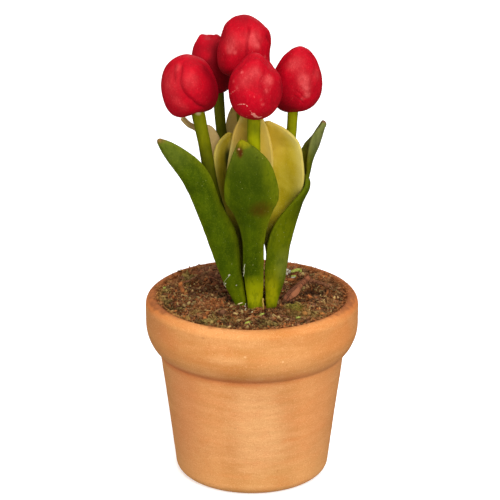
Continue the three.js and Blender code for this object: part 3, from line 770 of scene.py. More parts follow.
# Crumbs from nearly black to light by tone, in four kinds of earth by hue, olive in moss, dusted with
# the pot's clay at the wall, and painted shade in the hollows
def soilFinish(name, loose):
    material, place = newFinish(name)
    grain = cloud(place, 0.12, 4.0, 0.7)
    clumps = cloud(place, 1.4, 3.0)
    if loose:
        drift = ease(cloud(place, 1.0, 2.0), 0.32, 0.68)
        tone = carried(place, "tone") * 0.5 + drift * 0.45 + (grain - 0.5) * 0.8
        hue, moss = carried(place, "hue"), carried(place, "moss")
    else:
        tone = ease(grain, 0.3, 0.8) * 0.3
        hue, moss = cloud(place, 0.3, 2.0), ease(clumps, 0.6, 0.8)
    colour = twoTone(tone, (50, 28, 10), (160, 110, 68))
    for low, high, dark, pale in soil["hues"]:
        colour = blendColour(ease(hue, low, high), colour, twoTone(tone, dark, pale))
    mossy = ease(moss * 0.8 + cloud(place, 0.35, 2.0) * 0.5, 0.68, 0.84)
    colour = blendColour(mossy * 0.85, colour, twoTone(tone, (64, 48, 14), (174, 150, 82)))
    colour = layColours(colour, [(ease(clumps, 0.5, 0.36) * 0.6, (44, 24, 8))])
    potDust = ease(fromAxis(place) + (grain - 0.5) * 1.5, 10.3, 11.2)
    colour = blendColour(potDust * 0.55, colour, twoTone(tone, (110, 56, 20), (206, 130, 72)))
    # patches of other earth, and painted shade in the hollows
    colour = layMarks(strayed(place, 0.8, 0.6), colour, soil["marks"])
    closeFinish(place, colour, 0.95 - tone * 0.1, grain * 0.05, 0.12)
    return material


# Sizes from low to high, with small ones the commonest: low + (high - low) random^power
def unevenSizes(rng, limits, count, power):
    low, high = limits
    return low + (high - low) * rng.uniform(0, 1, count) ** power


# Puts a skin of loose bits into a piece, each bit with the moss of its place
def putLoose(name, skin, x, y, material, smooth):
    each = len(skin["points"]) // len(x)
    skin["values"]["moss"] = np.repeat(mossiness(x, y), each)
    putPiece(name, skin, material, "earth", smooth=smooth)


# The plug, then crumbs, clods and fibres on it, all from one run of random draws
def makeSoil():
    putPiece("soilPlug", makeSoilPlug(), soilFinish("earth", False), "earth", ["soil"])
    looseFinish = soilFinish("looseEarth", True)
    rng = np.random.default_rng(5)
    for name, kind in soil["loose"].items():
        x, y = scatter(rng, kind["count"], soil["reach"])
        kept = thinOut(rng, x, y)
        x, y = x[kept], y[kept]
        sizes = unevenSizes(rng, kind["size"], len(x), kind["unevenness"])
        onLip = easeBetween(np.hypot(x, y), soil["thinEdge"], soil["thinEdge"] + soil["shrinkOver"])
        sizes = sizes * (1 - soil["lipShrink"] * onLip)
        z = restHeight(x, y) + sizes * rng.uniform(*soil["raised"], len(x))
        putLoose(name, scatterCrumbs(rng, x, y, z, sizes, kind["flatness"]), x, y, looseFinish, False)
    fibres = soil["fibres"]
    x, y = scatter(rng, fibres["count"], fibres["reach"])
    lengths = unevenSizes(rng, fibres["length"], len(x), fibres["unevenness"])
    z = restHeight(x, y) + rng.uniform(*fibres["raised"], len(x))
    putLoose("soilFibres", scatterFibres(rng, x, y, z, lengths), x, y, looseFinish, True)


makeSoil()
print("soil filled in, with crumbs, clods and fibres on it")


# ---- clay stems ----

stems = {
    "around": 40, "rows": 150, "lumpiness": 0.035, "lumpSizes": (1.6, 0.6),
    # smears of pale clay or dirt: centre, radius, squash, strength, colour
    "marks": [
        ((-6.1, -3.6, 45.4), 0.28, (1, 1, 0.8), 0.9, (206, 186, 140)),
        ((0.3, -4.9, 41.9), 0.8, (1.2, 1, 0.6), 0.5, (158, 160, 0))],
    # radius, the two heights between which painted shade darkens the stem downwards, and points of its path
    "paths": {
        "left": (0.74, (47.0, 37.5),
            [[-1.35, -1.8, 15.5], [-1.4, -1.85, 22], [-2.58, -2.2, 29], [-4.45, -2.55, 35.5],
             [-5.34, -2.85, 41], [-6.4, -3, 46.6]]),
        "back": (0.62, (54.0, 47.0),
            [[-0.9, 0.6, 15.5], [-0.9, 0.65, 22], [-1.3, 1.3, 29], [-2.4, 2.7, 35.3],
             [-3.55, 4.1, 40.6], [-3.95, 5.1, 46.8]]),
        "front": (0.74, (39.0, 34.0),
            [[0.42, -2.5, 15.5], [0.42, -2.5, 22], [0.38, -3.15, 29], [0.3, -3.9, 35],
             [0.2, -4.4, 41], [0.23, -4.7, 46.6]]),
        "middle": (0.7, (46.0, 40.0),
            [[0.45, -0.05, 15.5], [0.45, -0.05, 22], [0.15, 0, 29], [-0.4, 0.15, 36], [-1, 0.4, 43],
             [-1.2, 0.6, 49.8]]),
        "right": (0.6, (38.0, 34.0),
            [[2.45, -0.75, 15.5], [2.45, -0.75, 22], [2.75, -0.6, 29], [3.75, -0.35, 36],
             [4.45, -0.1, 41], [4.75, 0, 45.9]]),
    },
}


# Rings about the path: centre + r (cos a * across + sin a * over), r strayed by lumps; dark, the painted
# shade, runs from 0 to 1 between two heights
def makeStem(radius, path, seed, dark=(1, 0)):
    share = np.linspace(0, 1, stems["rows"])
    centre = throughPoints(path, share)
    heading = headingAlong(path, share)
    across = unit(np.cross(heading, (0, 1, 0)))
    over = np.cross(across, heading)
    angle = np.linspace(0, 2 * np.pi, stems["around"], endpoint=False)
    outward = (np.cos(angle)[None, :, None] * across[:, None, :]
               + np.sin(angle)[None, :, None] * over[:, None, :])
    skin = centre[:, None, :] + radius * outward
    stray = stems["lumpiness"] * twoLumps(skin, stems["lumpSizes"], seed)
    rings = skin + outward * stray[..., None]
    # painted shade: none above the upper height, full below the lower one
    paintedStemShade = 1 - easeBetween(rings[..., 2], dark[1], dark[0])
    return sleeve(rings, centre[0], centre[-1], {"dark": paintedStemShade})


# Olive clay with streaks along it, and painted shade that darkens it below
def stemFinish():
    material, place = newFinish("stemClay")
    blotch = ease(cloud(place, 1.8, 3.0), 0.35, 0.65)
    strands = cloud(place, 0.3, 3.0, stretch=(1.0, 1.0, 0.12))
    grain = cloud(place, 0.09, 3.0, 0.7)
    colour = layColours(twoTone(blotch, (108, 111, 0), (134, 134, 0)), [
        (ease(strands, 0.4, 0.7) * 0.3, (84, 92, 0)),
        (ease(grain, 0.55, 0.75) * 0.25, (146, 148, 20)),
        (ease(grain, 0.45, 0.3) * 0.25, (78, 86, 0)),
        # painted shade lower down the stem
        (carried(place, "dark") * 0.75, (38, 42, 0))])
    colour = layMarks(strayed(place, 0.3, 0.1), colour, stems["marks"])
    relief = grain * 0.012 + strands * 0.015
    closeFinish(place, colour, 0.6 + grain * 0.2, relief, 0.06)
    return material


stemClay = stemFinish()
for number, (name, (radius, dark, path)) in enumerate(stems["paths"].items()):
    skin = makeStem(radius, path, 30 + 2 * number, dark)
    putPiece("stemClay" + name.capitalize(), skin, stemClay, "stem", ["stem_" + name])
print("stems rolled")


# ---- tulips: closed buds of clay, with the margins of their petals pressed in as seams ----

# azimuth 0 faces the front and positive goes to the right, v is the share of the bud's height.
# seams: line of (azimuth, v) corners from the top down, depth, width, and rise: how far the petal
# on its right stands proud (negative: the one on its left).
# dents: azimuth, v, radius and height; a negative height goes in.
# painted light: azimuth, v, radius and strength of a painted highlight on the clay, or of painted shade
# when negative, where the buds press on each other and near their feet. scars: line and width of a pale
# crack.
buds = {
    "rows": 210, "around": 380, "lowerFullness": 2.2,
    "lumpiness": 0.09, "lumpSizes": (2.3, 0.8), "smallLumps": 0.35,
    "petalEdge": 0.6,  # width of the rounded edge of a petal that stands proud
    "petalSwell": 1.7,  # how far from its edge a petal stands proud
    "fullCrease": 0.12,  # depth from which a seam is darkest
    "seamStray": (0.06, 0.7), "scarStray": (0.16, 0.25),  # how far, and the size of the waves in them
    "seamFade": (0.2, 0.75), "scarFade": (0.15, 0.9),  # shares of their lines between which they are full
    "scarRise": 0.04,  # how far the torn skin of a crack stands out
    "shapes": {
        "left": {
            "base": [-6.61, -3, 44.75], "top": [-7.47, -3.3, 51.87],
            "width": 6.16, "widest": 0.49, "taper": 1.81,
            "seams": [
                ([(10, 0.98), (-12, 0.93), (-14, 0.81), (-16, 0.674), (-9, 0.545), (4, 0.428), (20, 0.297),
                  (35, 0.231), (46, 0.17)], 0.08, 0.34, 0.17),
                ([(-50, 0.94), (-42, 0.86), (-34, 0.74), (-22, 0.6)], 0.07, 0.3, -0.05),
                ([(62, 0.95), (80, 0.7), (84, 0.45), (70, 0.12)], 0.08, 0.2, 0.12),
                ([(130, 0.96), (142, 0.7), (148, 0.4), (140, 0.1)], 0.1, 0.2, -0.15),
                ([(-120, 0.96), (-136, 0.7), (-138, 0.4), (-120, 0.1)], 0.1, 0.2, 0.15)],
            "hazes": [(12, 0.71, 1.2, 0.4), (-46, 0.66, 1.5, 0.4), (-30, 0.89, 0.5, 0.5),
                      (-14, 0.28, 1.0, 0.35), (-33, 0.42, 0.8, 0.25), (74, 0.5, 1.7, -1.0),
                      (66, 0.2, 1.4, -0.9), (66, 0.8, 1.1, -0.6), (24, 0.4, 1.4, -0.25),
                      (20, 0.06, 1.4, -0.5)],
            "dents": [(38, 0.1, 1.2, 0.1), (-25, 0.42, 1.2, -0.12), (85, 0.1, 1.5, 0.28),
                      (85, 0.65, 1.5, -0.26), (-85, 0.1, 1.5, 0.42), (-85, 0.35, 1.5, 0.08),
                      (-85, 0.65, 1.5, 0.15), (-85, 0.88, 1.5, 0.15), (30, 0.03, 1.5, -0.57)]},
        "back": {
            "base": [-4.5, 5, 45.3], "top": [-4.95, 5.4, 52],
            "width": 4.8, "widest": 0.43, "taper": 2.5,
            "seams": [
                ([(40, 0.95), (36, 0.75), (30, 0.45)], 0.03, 0.3, 0.05),
                ([(120, 0.95), (128, 0.6), (120, 0.15)], 0.1, 0.2, 0.15),
                ([(-120, 0.95), (-128, 0.6), (-120, 0.15)], 0.1, 0.2, -0.15)],
            "hazes": [(-8, 0.7, 0.7, 0.6), (0, 0.65, 2.6, -0.55), (30, 0.85, 1.0, -0.2),
                      (20, 0.2, 2.2, -1.0), (70, 0.3, 2.2, -1.0), (30, 0.6, 1.4, -0.7),
                      (-50, 0.2, 1.6, -0.8)],
            "dents": [(-100, 0.97, 0.6, 0.22), (78, 0.97, 0.6, 0.2), (0, 0.999, 0.8, -0.28),
                      (75, 0.12, 1.5, 0.5)]},
        "front": {
            "base": [0.22, -4.8, 45], "top": [0.45, -5.05, 52.79],
            "width": 6.02, "widest": 0.44, "taper": 1.29,
            "seams": [
                ([(-26, 0.93), (8, 0.972), (40, 0.945), (50, 0.88)], 0.05, 0.14, -0.06),
                ([(50, 0.9), (36, 0.81), (20, 0.7), (12, 0.63), (20, 0.5), (25, 0.36), (28, 0.28)],
                 0.06, 0.26, 0.09),
                ([(-46, 0.96), (-62, 0.8), (-74, 0.6), (-70, 0.4)], 0.04, 0.22, -0.04),
                ([(105, 0.95), (116, 0.6), (112, 0.15)], 0.1, 0.2, 0.15),
                ([(-115, 0.95), (-124, 0.6), (-112, 0.15)], 0.1, 0.2, -0.15),
                ([(172, 0.93), (182, 0.5), (176, 0.12)], 0.09, 0.2, 0.1)],
            "hazes": [(36, 0.66, 0.6, 1.0), (25, 0.53, 0.35, 0.6), (-28, 0.67, 1.1, 0.5),
                      (0, 0.79, 0.8, 0.5), (-44, 0.76, 0.18, 0.9), (-61, 0.6, 0.2, 0.6),
                      (-45, 0.54, 0.25, 0.6), (18, 0.34, 0.25, 0.7), (13, 0.41, 0.2, 0.5),
                      (78, 0.5, 0.9, -0.5), (-10, 0.03, 1.2, -0.3)],
            "scars": [([(-52, 0.26), (-34, 0.311), (-22, 0.329), (-16, 0.304), (-8, 0.221), (-2, 0.163)],
                       0.08),
                      ([(-7, 0.21), (-1, 0.155), (8, 0.112), (18, 0.1), (28, 0.1)], 0.24),
                      ([(-64, 0.41), (-56, 0.46), (-48, 0.5)], 0.06),
                      ([(-44, 0.15), (-34, 0.12), (-20, 0.11)], 0.06)],
            "dents": [(40, 0.6, 1.0, 0.08), (85, 0.35, 1.5, 0.07), (85, 0.65, 1.5, 0.32),
                      (85, 0.88, 1.5, -0.38), (-85, 0.35, 1.5, -0.08), (-85, 0.65, 1.5, 0.15),
                      (-85, 0.88, 1.5, -0.1)]},
        "middle": {
            "base": [-0.73, 0.6, 48.25], "top": [-0.97, 0.9, 55.31],
            "width": 6.12, "widest": 0.28, "taper": 2.29,
            "seams": [
                ([(26, 0.92), (20, 0.86), (14, 0.79), (8, 0.68), (6, 0.57), (4, 0.45), (6, 0.3)],
                 0.1, 0.18, 0.1),
                ([(34, 0.86), (40, 0.7), (46, 0.56), (54, 0.42)], 0.05, 0.28, 0.04),
                ([(66, 0.72), (78, 0.58), (86, 0.44)], 0.16, 0.3, 0.1),
                ([(-76, 0.93), (-88, 0.6), (-80, 0.2)], 0.07, 0.2, -0.1),
                ([(140, 0.94), (150, 0.55), (142, 0.15)], 0.1, 0.2, 0.15),
                ([(-145, 0.94), (-155, 0.55), (-146, 0.15)], 0.1, 0.2, -0.15)],
            "hazes": [(-30, 0.66, 1.3, 0.5), (-36, 0.54, 0.5, 0.7), (25, 0.7, 0.95, 0.8),
                      (30, 0.58, 0.4, 0.6), (-21, 0.51, 0.2, 0.9), (52, 0.39, 0.22, 0.9),
                      (-10, 0.16, 1.7, -0.3), (-50, 0.2, 1.2, -0.3), (0, 0.98, 1.0, -0.5)],
            "dents": [(85, 0.35, 1.5, -0.2), (85, 0.65, 1.5, 0.19), (85, 0.88, 1.5, 0.14),
                      (-85, 0.1, 1.5, 0.09), (-85, 0.65, 1.5, -0.16), (-85, 0.88, 1.5, 0.16)]},
        "right": {
            "base": [4.89, 0, 44.18], "top": [5.55, 0.2, 51.98],
            "width": 5.59, "widest": 0.45, "taper": 1.69,
            "seams": [
                ([(6, 0.985), (58, 0.93), (60, 0.86), (52, 0.72), (34, 0.58), (31, 0.46), (36, 0.34)],
                 0.05, 0.26, 0.05),
                ([(-8, 0.45), (8, 0.39), (28, 0.29)], 0.03, 0.12, 0.05),
                ([(0, 0.51), (14, 0.45), (30, 0.37)], 0.025, 0.12, 0.04),
                ([(-12, 0.37), (4, 0.31), (22, 0.215)], 0.03, 0.12, 0.05),
                ([(-66, 0.95), (-82, 0.6), (-72, 0.2)], 0.08, 0.2, -0.12),
                ([(150, 0.95), (160, 0.55), (150, 0.15)], 0.1, 0.2, 0.15),
                ([(-140, 0.95), (-132, 0.5), (-140, 0.15)], 0.1, 0.2, -0.12)],
            "hazes": [(13, 0.6, 0.8, 0.8), (19, 0.48, 0.55, 0.8), (24, 0.37, 0.4, 0.9), (12, 0.31, 0.3, 0.6),
                      (-10, 0.83, 1.1, 0.4), (-30, 0.76, 0.8, 0.35), (54, 0.66, 0.8, 0.45),
                      (-48, 0.45, 1.3, -0.5), (-30, 0.12, 1.6, -0.7), (-70, 0.15, 1.2, -0.6)],
            "dents": [(10, 0.95, 0.5, -0.12), (85, 0.35, 1.5, 0.15), (-85, 0.1, 1.5, 0.3),
                      (-85, 0.35, 1.5, 0.11), (-85, 0.65, 1.5, -0.09), (10, 0.03, 1.5, -0.29)]},
    },
}


# Skin of a bud: v up its axis, azimuth round it, lift off the egg. With t the distance from the
# widest place as a share, radius = width / 2 * grow * sqrt(1 - t^fullness), grow = 1 + lift / (width / 2)
def budPlace(bud, length, v, azimuth, lift):
    low = v < bud["widest"]
    t = np.where(low, (bud["widest"] - v) / bud["widest"], (v - bud["widest"]) / (1 - bud["widest"]))
    fullness = np.where(low, buds["lowerFullness"], bud["taper"])
    grow = 1 + lift / (bud["width"] / 2)
    radius = bud["width"] / 2 * grow * np.sqrt(np.clip(1 - np.clip(t, 0, 1) ** fullness, 0, 1))
    a = np.radians(azimuth)
    height = length * (bud["widest"] + (v - bud["widest"]) * grow)
    return np.stack([radius * np.sin(a), -radius * np.cos(a), height + 0 * a], -1)


# For each place of the skin, its distance in millimetres from a line on it, positive at its right,
# and the share of the line where that is; the line's pieces are tried one after another
def fromLine(skin, line):
    best = np.full(skin.shape[:2], 1e9)  # further than any of them
    signed, share = best.copy(), 0 * best
    outward = unit(skin - skin.mean((0, 1)))
    for number, (start, end) in enumerate(zip(line[:-1], line[1:])):
        reach = end - start
        f = np.clip((skin - start) @ reach / (reach @ reach), 0, 1)
        offset = skin - start - f[..., None] * reach
        distance = np.linalg.norm(offset, axis=-1)
        side = np.sign(np.sum(np.cross(reach, outward) * offset, -1))
        nearer = distance < best
        best = np.where(nearer, distance, best)
        signed = np.where(nearer, -distance * side, signed)
        share = np.where(nearer, (number + f) / (len(line) - 1), share)
    return signed, share


# Line on the egg through (azimuth, v) corners
def budLine(bud, length, corners):
    steps = 17
    corners = throughPoints(corners, np.linspace(0, 1, steps))
    return budPlace(bud, length, corners[:, 1], corners[:, 0], 0)


# 0 at both ends of a line, and 1 between two shares of it
def fadeEnds(share, full):
    return easeBetween(share, 0, full[0]) * easeBetween(share, 1, full[1])


# exp(-(d / radius)^2), with d the distance of each place of the egg from a place on it
def nearness(bud, length, egg, azimuth, v, radius):
    centre = budPlace(bud, length, np.array(v), np.array(float(azimuth)), 0)
    return np.exp(-(np.linalg.norm(egg - centre, axis=-1) / radius) ** 2)


# Turn of space that carries +Z to the axis: I + K + K K / (1 + cos), K from Z x axis
def turnTo(axis):
    k = np.cross((0, 0, 1), axis)
    cross = np.array([[0, -k[2], k[1]], [k[2], 0, -k[0]], [-k[1], k[0], 0]])
    return np.eye(3) + cross + cross @ cross / (1 + axis[2])


# The egg with its seams: each is a groove -depth exp(-(d / width)^2), and the petal beside it stands
# proud by rise * quarter round (d / edge) * exp(-(d / swell)^2); both fade at the seam's two ends.
# A crack's torn skin stands out by scarRise * exp(-(d / width)^2)
def makeBud(bud, seed):
    base = np.array(bud["base"], float)
    axis = np.array(bud["top"], float) - base
    length = np.linalg.norm(axis)
    azimuth = np.linspace(-180, 180, buds["around"], endpoint=False)[None, :]
    v = (1 - np.cos(np.pi * np.linspace(0, 1, buds["rows"] + 2)[1:-1])) / 2
    v = v[:, None] + 0 * azimuth
    egg = budPlace(bud, length, v, azimuth, 0)
    lift = buds["lumpiness"] * twoLumps(egg, buds["lumpSizes"], seed, buds["smallLumps"])
    (seamFar, seamWave), (scarFar, scarWave) = buds["seamStray"], buds["scarStray"]
    shaken = egg + seamFar * lumps(egg, seamWave, seed + 5)[..., None]
    torn = egg + scarFar * lumps(egg, scarWave, seed + 6)[..., None]
    crease, haze, scar = np.zeros((3, *v.shape))
    for corners, depth, width, rise in bud["seams"]:
        distance, share = fromLine(shaken, budLine(bud, length, corners))
        fade = fadeEnds(share, buds["seamFade"])
        groove = np.exp(-(distance / width) ** 2) * fade
        proud = np.clip(distance * np.sign(rise), 0, None)
        edge = np.sqrt(1 - (1 - np.clip(proud / buds["petalEdge"], 0, 1)) ** 2)
        lift += abs(rise) * fade * edge * np.exp(-(proud / buds["petalSwell"]) ** 2) - depth * groove
        # painted shade in the seam, darker where the seam is deeper
        crease = np.maximum(crease, groove * min(1.0, depth / buds["fullCrease"]))
    for corners, width in bud.get("scars", []):
        distance, share = fromLine(torn, budLine(bud, length, corners))
        crack = np.exp(-(distance / width) ** 2) * fadeEnds(share, buds["scarFade"])
        scar = np.maximum(scar, crack)
        lift += buds["scarRise"] * crack
    for atAzimuth, atV, radius, height in bud["dents"]:
        lift += height * nearness(bud, length, egg, atAzimuth, atV, radius)
    # painted highlights, and painted shade where the strength is negative
    for atAzimuth, atV, radius, strength in bud["hazes"]:
        haze += strength * nearness(bud, length, shaken, atAzimuth, atV, radius)
    rings = budPlace(bud, length, v, azimuth, lift)
    turn = turnTo(axis / length)
    poles = [(0, 0, rings[row, :, 2].mean()) for row in (0, -1)]
    start, end = (base + turn @ np.array(pole) for pole in poles)
    return sleeve(base + rings @ turn.T, start, end, {"crease": crease, "haze": haze, "scar": scar})


# Crimson clay: mottled, with painted highlights, painted shade where the buds meet and in the seams, whitish
# and rough in the cracks
def budFinish():
    material, place = newFinish("tulipClay")
    blush = ease(cloud(place, 1.7, 3.0), 0.38, 0.66)
    mottle = cloud(place, 0.42, 5.0, 0.7, (1.0, 1.0, 0.7))
    grain = cloud(place, 0.15, 4.0, 0.8)
    pale = ease(cloud(place, 0.26, 4.0, 0.7, (1.0, 1.0, 0.5)), 0.62, 0.74)
    # painted highlight where the painted light is above 0
    haze = ease(carried(place, "haze"), 0.0, 1.0)
    # painted shade where the painted light is below 0
    paintedBudShade = ease(carried(place, "haze"), 0.0, -1.0)
    scar = ease(carried(place, "scar") + grain * 0.9, 0.75, 1.15)
    patchy = ease(mottle + grain * 0.3, 0.5, 0.8) * 0.5 + 0.5
    colour = layColours(twoTone(blush, (165, 0, 21), (181, 0, 25)), [
        (ease(mottle, 0.48, 0.68) * 0.35, (208, 4, 30)),
        (ease(mottle, 0.46, 0.3) * 0.4, (156, 0, 18)),
        # painted highlight
        (haze * patchy * 0.6, (214, 90, 88)),
        (ease(grain, 0.54, 0.72) * 0.3, (152, 0, 18)),
        (ease(grain, 0.46, 0.3) * (haze * 0.6 + 0.12), (224, 104, 104)),
        (pale * 0.45, (228, 100, 98)),
        # painted shade in the seams
        (carried(place, "crease") * 0.6, (136, 0, 18)),
        # painted shade where the buds press on each other and near their feet
        (paintedBudShade * 0.8, (108, 0, 14)),
        (scar * 0.75, (236, 150, 134))])
    relief = grain * 0.016 + mottle * 0.03
    closeFinish(place, colour, 0.55 + grain * 0.12, relief, 0.08)
    return material


tulipClay = budFinish()
for number, (name, bud) in enumerate(buds["shapes"].items()):
    skin = makeBud(bud, 50 + 20 * number)
    putPiece("tulip" + name.capitalize(), skin, tulipClay, "bloom", ["bloom_" + name])
print("tulips pressed")


# ---- leaves: thick clay blades on a curved midrib ----

